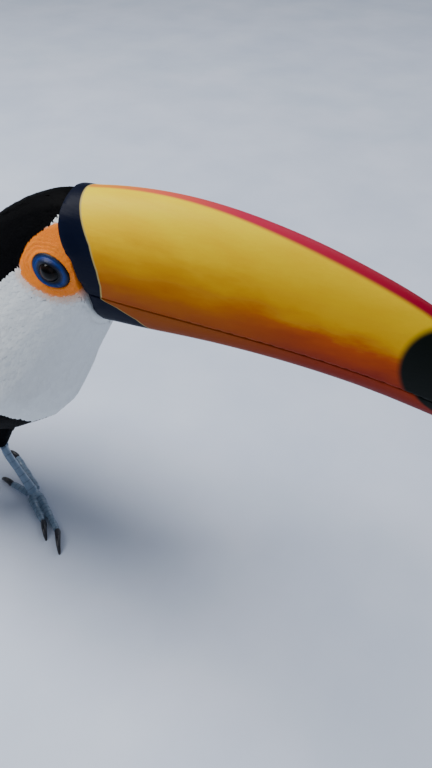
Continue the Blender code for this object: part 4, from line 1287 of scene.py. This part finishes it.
def foot_mesh(label, nodes):
    """Shank, toes and knuckle as one smooth mesh."""
    copies = [copy_node(node, "scales_" + node) for node in nodes]
    for obj in copies:
        swell(obj, FOOT_SWELL)
    hip, ankle, root = (np.array(p) for p in LEGS[label])
    points = coordinates(copies[0])
    top = (points / MM - ORIGIN_SHIFT - ankle) @ unit(ankle - root) > -4.0
    set_coordinates(copies[0], points + np.where(top[:, None], unit(hip - ankle) * SHANK_RISE, 0.0) * MM)
    radius, scale, place = KNUCKLE
    knuckle = sphere(radius, segments=32, ring_count=20)
    set_coordinates(knuckle, coordinates(knuckle) * scale + (root + place + ORIGIN_SHIFT) * MM)
    foot = joined(copies + [knuckle], "foot_scales_" + label)
    with_modifier(foot, "REMESH", mode="VOXEL", voxel_size=FOOT_VOXEL * MM, adaptivity=0.0)
    return with_modifier(foot, "SMOOTH", factor=0.5, iterations=4)


def build_foot(label, side, colours):
    """Scaled shank and toes, with the plates' seams sunk in."""
    nodes = ["shank_" + label] + [f"toe{k}_{label}" for k in (1, 2, 3, 4)]
    foot = foot_mesh(label, nodes)
    points, normals = coordinates(foot), vertex_normals(foot)
    straight = points / MM - ORIGIN_SHIFT
    best = np.full(len(points), 1e9)
    seam, rise = np.zeros(len(points)), np.zeros(len(points))
    heading = math.radians(FOOT_POINTS[label])
    for number, (start, end) in enumerate(foot_lines(label, side)):
        shank = number == 0
        along = end - start
        length = np.linalg.norm(along)
        t = np.clip((straight - start) @ along / length ** 2, -0.1, 1.1)
        radial = straight - (start + t[:, None] * along)
        distance = np.linalg.norm(radial, axis=1)
        plate = SHANK_PLATE if shank else TOE_PLATE
        front = np.array((math.cos(heading), math.sin(heading), 0.3) if shank else (0, 0, 1.0))
        facing = radial @ front / np.maximum(distance, 1e-6)
        cell = t * length / plate + 0.10 * facing
        valley = np.abs(cell - np.round(cell)) * plate
        groove = 0.75 * smooth((0.36 - valley) / 0.32) * smooth((facing + 0.25) / 0.5)
        # A plate's own side seams, where the front plates meet the small scales behind.
        groove = np.maximum(groove, smooth((0.10 - np.abs(facing + 0.05)) / 0.08) * 0.7 * shank)
        closer = distance < best
        best = np.where(closer, distance, best)
        seam = np.where(closer, groove, seam)
        rise = np.where(closer, 0.16 * (1 - groove) * smooth((facing + 0.2) / 0.6) - 0.14 * groove, rise)
    # The flats under the toes stay as they are, on the floor.
    rise = np.where(points[:, 2] < 0.0004, 0.0, rise) - FOOT_SWELL * (points[:, 2] > 0.0003)
    points = points + normals * rise[:, None] * MM
    points[:, 2] = np.maximum(points[:, 2], 0.0)
    set_coordinates(foot, points)
    give_values(foot, "seam", seam)
    select_only(foot)
    bpy.ops.object.shade_smooth()
    piece(foot, scale_material(colours), nodes)


def build_claws(label):
    """The four claws of one foot."""
    nodes = [f"claw{k}_{label}" for k in (1, 2, 3, 4)]
    claws = [copy_node(node, "horn_" + node) for node in nodes]
    for claw in claws:
        edited(claw, bpy.ops.mesh.tris_convert_to_quads)
        with_modifier(claw, "SUBSURF", levels=2, render_levels=2)
        swell(claw, CLAW_SWELL)
        # None reaches below the floor.
        set_coordinates(claw, np.maximum(coordinates(claw), (-1.0, -1.0, 0.0)))
    claws = joined(claws, "claws_" + label)
    bpy.ops.object.shade_smooth()
    piece(claws, claw_material(), nodes)


# ---- Stage -------------------------------------------------------------------------------------
CAMERA_PLACE_M = (0.28829, -0.17888, 0.42063)
CAMERA_HEADING = math.radians(124.79)
CAMERA_PITCH = math.radians(41.46)
CAMERA_LENS = 32.31
FLOOR_SIZE_M = 8.0
# Each light's place, what it points at, its size, power and colour.
LIGHTS = {
    "key_light": ((-0.8, -0.35, 1.7), (0.0, 0.0, 0.2), 1.2, 44.0, "#FFFFFF"),
    "fill_light": ((1.3, -1.4, 1.2), (0.05, 0.0, 0.2), 1.6, 3.0, "#DCE8FF"),
    "back_light": ((0.2, 1.6, 1.3), (0.0, 0.0, 0.2), 1.2, 5.0, "#F4F6FF"),
}


def aimed(obj, place, way):
    """Puts a lamp or camera in its place, looking this way."""
    obj.location = place
    obj.rotation_euler = Vector(way).to_track_quat("-Z", "Y").to_euler()
    return obj


def build_stage():
    """The floor, three soft lights, pale air and the camera."""
    fresh("floor")
    bpy.ops.object.select_all(action="DESELECT")
    bpy.ops.mesh.primitive_plane_add(size=FLOOR_SIZE_M, location=(0, 0, 0))
    floor = bpy.context.view_layer.objects.active
    floor.name = "floor"
    floor.data.materials.append(floor_material())
    for name, (place, aim, size, power, tint) in LIGHTS.items():
        data = bpy.data.lights.new(name, "AREA")
        data.size, data.energy, data.color = size, power, linear(tint)[:3]
        aimed(put(name, data), place, Vector(aim) - Vector(place))
    world = bpy.data.worlds.new("studio air")
    world.use_nodes = True
    background = world.node_tree.nodes["Background"]
    background.inputs["Color"].default_value = linear("#DDE4F0")
    background.inputs["Strength"].default_value = 0.28
    bpy.context.scene.world = world
    data = bpy.data.cameras.new("camera")
    data.lens, data.sensor_width = CAMERA_LENS, 36.0
    data.clip_start, data.clip_end = 0.01, 50.0
    level = math.cos(CAMERA_PITCH)
    bpy.context.scene.camera = aimed(put("camera", data), CAMERA_PLACE_M, (
        math.cos(CAMERA_HEADING) * level, math.sin(CAMERA_HEADING) * level, -math.sin(CAMERA_PITCH)))


# ---- Operators and panel -----------------------------------------------------------------------
class TOUCAN_OT_skin(bpy.types.Operator):
    """One skin over the bird's flesh, with the bare face's folds"""
    bl_idname = "toucan.skin"
    bl_label = "Skin"

    def execute(self, context):
        build_skin(context.scene.toucan_colours, context.scene.toucan_sizes)
        return {"FINISHED"}


class TOUCAN_OT_eyes(bpy.types.Operator):
    """Both eyes, with the blue skin and lids round them"""
    bl_idname = "toucan.eyes"
    bl_label = "Eyes"

    def execute(self, context):
        for label, side in SIDES:
            build_eye(label, side)
            build_eye_ring(label, side)
        return {"FINISHED"}


class TOUCAN_OT_head_plumage(bpy.types.Operator):
    """Small feathers of the crown, nape, throat and bib"""
    bl_idname = "toucan.head_plumage"
    bl_label = "Head and bib plumage"

    def execute(self, context):
        build_plumage(context.scene.toucan_colours, context.scene.toucan_sizes, "head")
        return {"FINISHED"}


class TOUCAN_OT_body_plumage(bpy.types.Operator):
    """Black feathers of the back and belly"""
    bl_idname = "toucan.body_plumage"
    bl_label = "Body plumage"

    def execute(self, context):
        build_plumage(context.scene.toucan_colours, context.scene.toucan_sizes, "body")
        return {"FINISHED"}


class TOUCAN_OT_rear_plumage(bpy.types.Operator):
    """Feathers of the thighs and the white and red tail coverts"""
    bl_idname = "toucan.rear_plumage"
    bl_label = "Thigh and tail covert plumage"

    def execute(self, context):
        build_plumage(context.scene.toucan_colours, context.scene.toucan_sizes, "rear")
        return {"FINISHED"}


class TOUCAN_OT_wings(bpy.types.Operator):
    """Wing coverts and long flight feathers of both folded wings"""
    bl_idname = "toucan.wings"
    bl_label = "Wings"

    def execute(self, context):
        for label, side in SIDES:
            build_wing(label, side, context.scene.toucan_colours, context.scene.toucan_sizes)
        return {"FINISHED"}


class TOUCAN_OT_tail(bpy.types.Operator):
    """The ten long tail feathers"""
    bl_idname = "toucan.tail"
    bl_label = "Tail"

    def execute(self, context):
        build_tail(context.scene.toucan_colours, context.scene.toucan_sizes)
        return {"FINISHED"}


class TOUCAN_OT_bill(bpy.types.Operator):
    """Upper and lower bill horn"""
    bl_idname = "toucan.bill"
    bl_label = "Bill"

    def execute(self, context):
        build_bill(context.scene.toucan_colours)
        return {"FINISHED"}


class TOUCAN_OT_feet(bpy.types.Operator):
    """Scaled shanks and toes, and the claws"""
    bl_idname = "toucan.feet"
    bl_label = "Feet"

    def execute(self, context):
        for label, side in SIDES:
            build_foot(label, side, context.scene.toucan_colours)
            build_claws(label)
        return {"FINISHED"}


class TOUCAN_OT_stage(bpy.types.Operator):
    """Pale floor, soft lights and the camera"""
    bl_idname = "toucan.stage"
    bl_label = "Stage"

    def execute(self, context):
        build_stage()
        return {"FINISHED"}


OPERATORS = (TOUCAN_OT_skin, TOUCAN_OT_eyes, TOUCAN_OT_head_plumage, TOUCAN_OT_body_plumage,
             TOUCAN_OT_rear_plumage, TOUCAN_OT_wings, TOUCAN_OT_tail, TOUCAN_OT_bill, TOUCAN_OT_feet,
             TOUCAN_OT_stage)


class TOUCAN_PT_panel(bpy.types.Panel):
    """Every step of the bird's finish, in order"""
    bl_idname = "TOUCAN_PT_panel"
    bl_label = "Toco toucan"
    bl_space_type = "VIEW_3D"
    bl_region_type = "UI"
    bl_category = "Toucan"

    def draw(self, context):
        layout = self.layout
        for group in (context.scene.toucan_sizes, context.scene.toucan_colours):
            for name in group.__annotations__:
                layout.prop(group, name)
        for operator in OPERATORS:
            layout.operator(operator.bl_idname)


CLASSES = (ToucanColours, ToucanSizes) + OPERATORS + (TOUCAN_PT_panel,)


def register():
    for cls in CLASSES:
        bpy.utils.register_class(cls)
    bpy.types.Scene.toucan_colours = PointerProperty(type=ToucanColours)
    bpy.types.Scene.toucan_sizes = PointerProperty(type=ToucanSizes)


def unregister():
    del bpy.types.Scene.toucan_sizes
    del bpy.types.Scene.toucan_colours
    for cls in reversed(CLASSES):
        bpy.utils.unregister_class(cls)


def main():
    register()
    for operator in OPERATORS:
        group, name = operator.bl_idname.split(".")
        getattr(getattr(bpy.ops, group), name)()


if __name__ == "__main__":
    main()
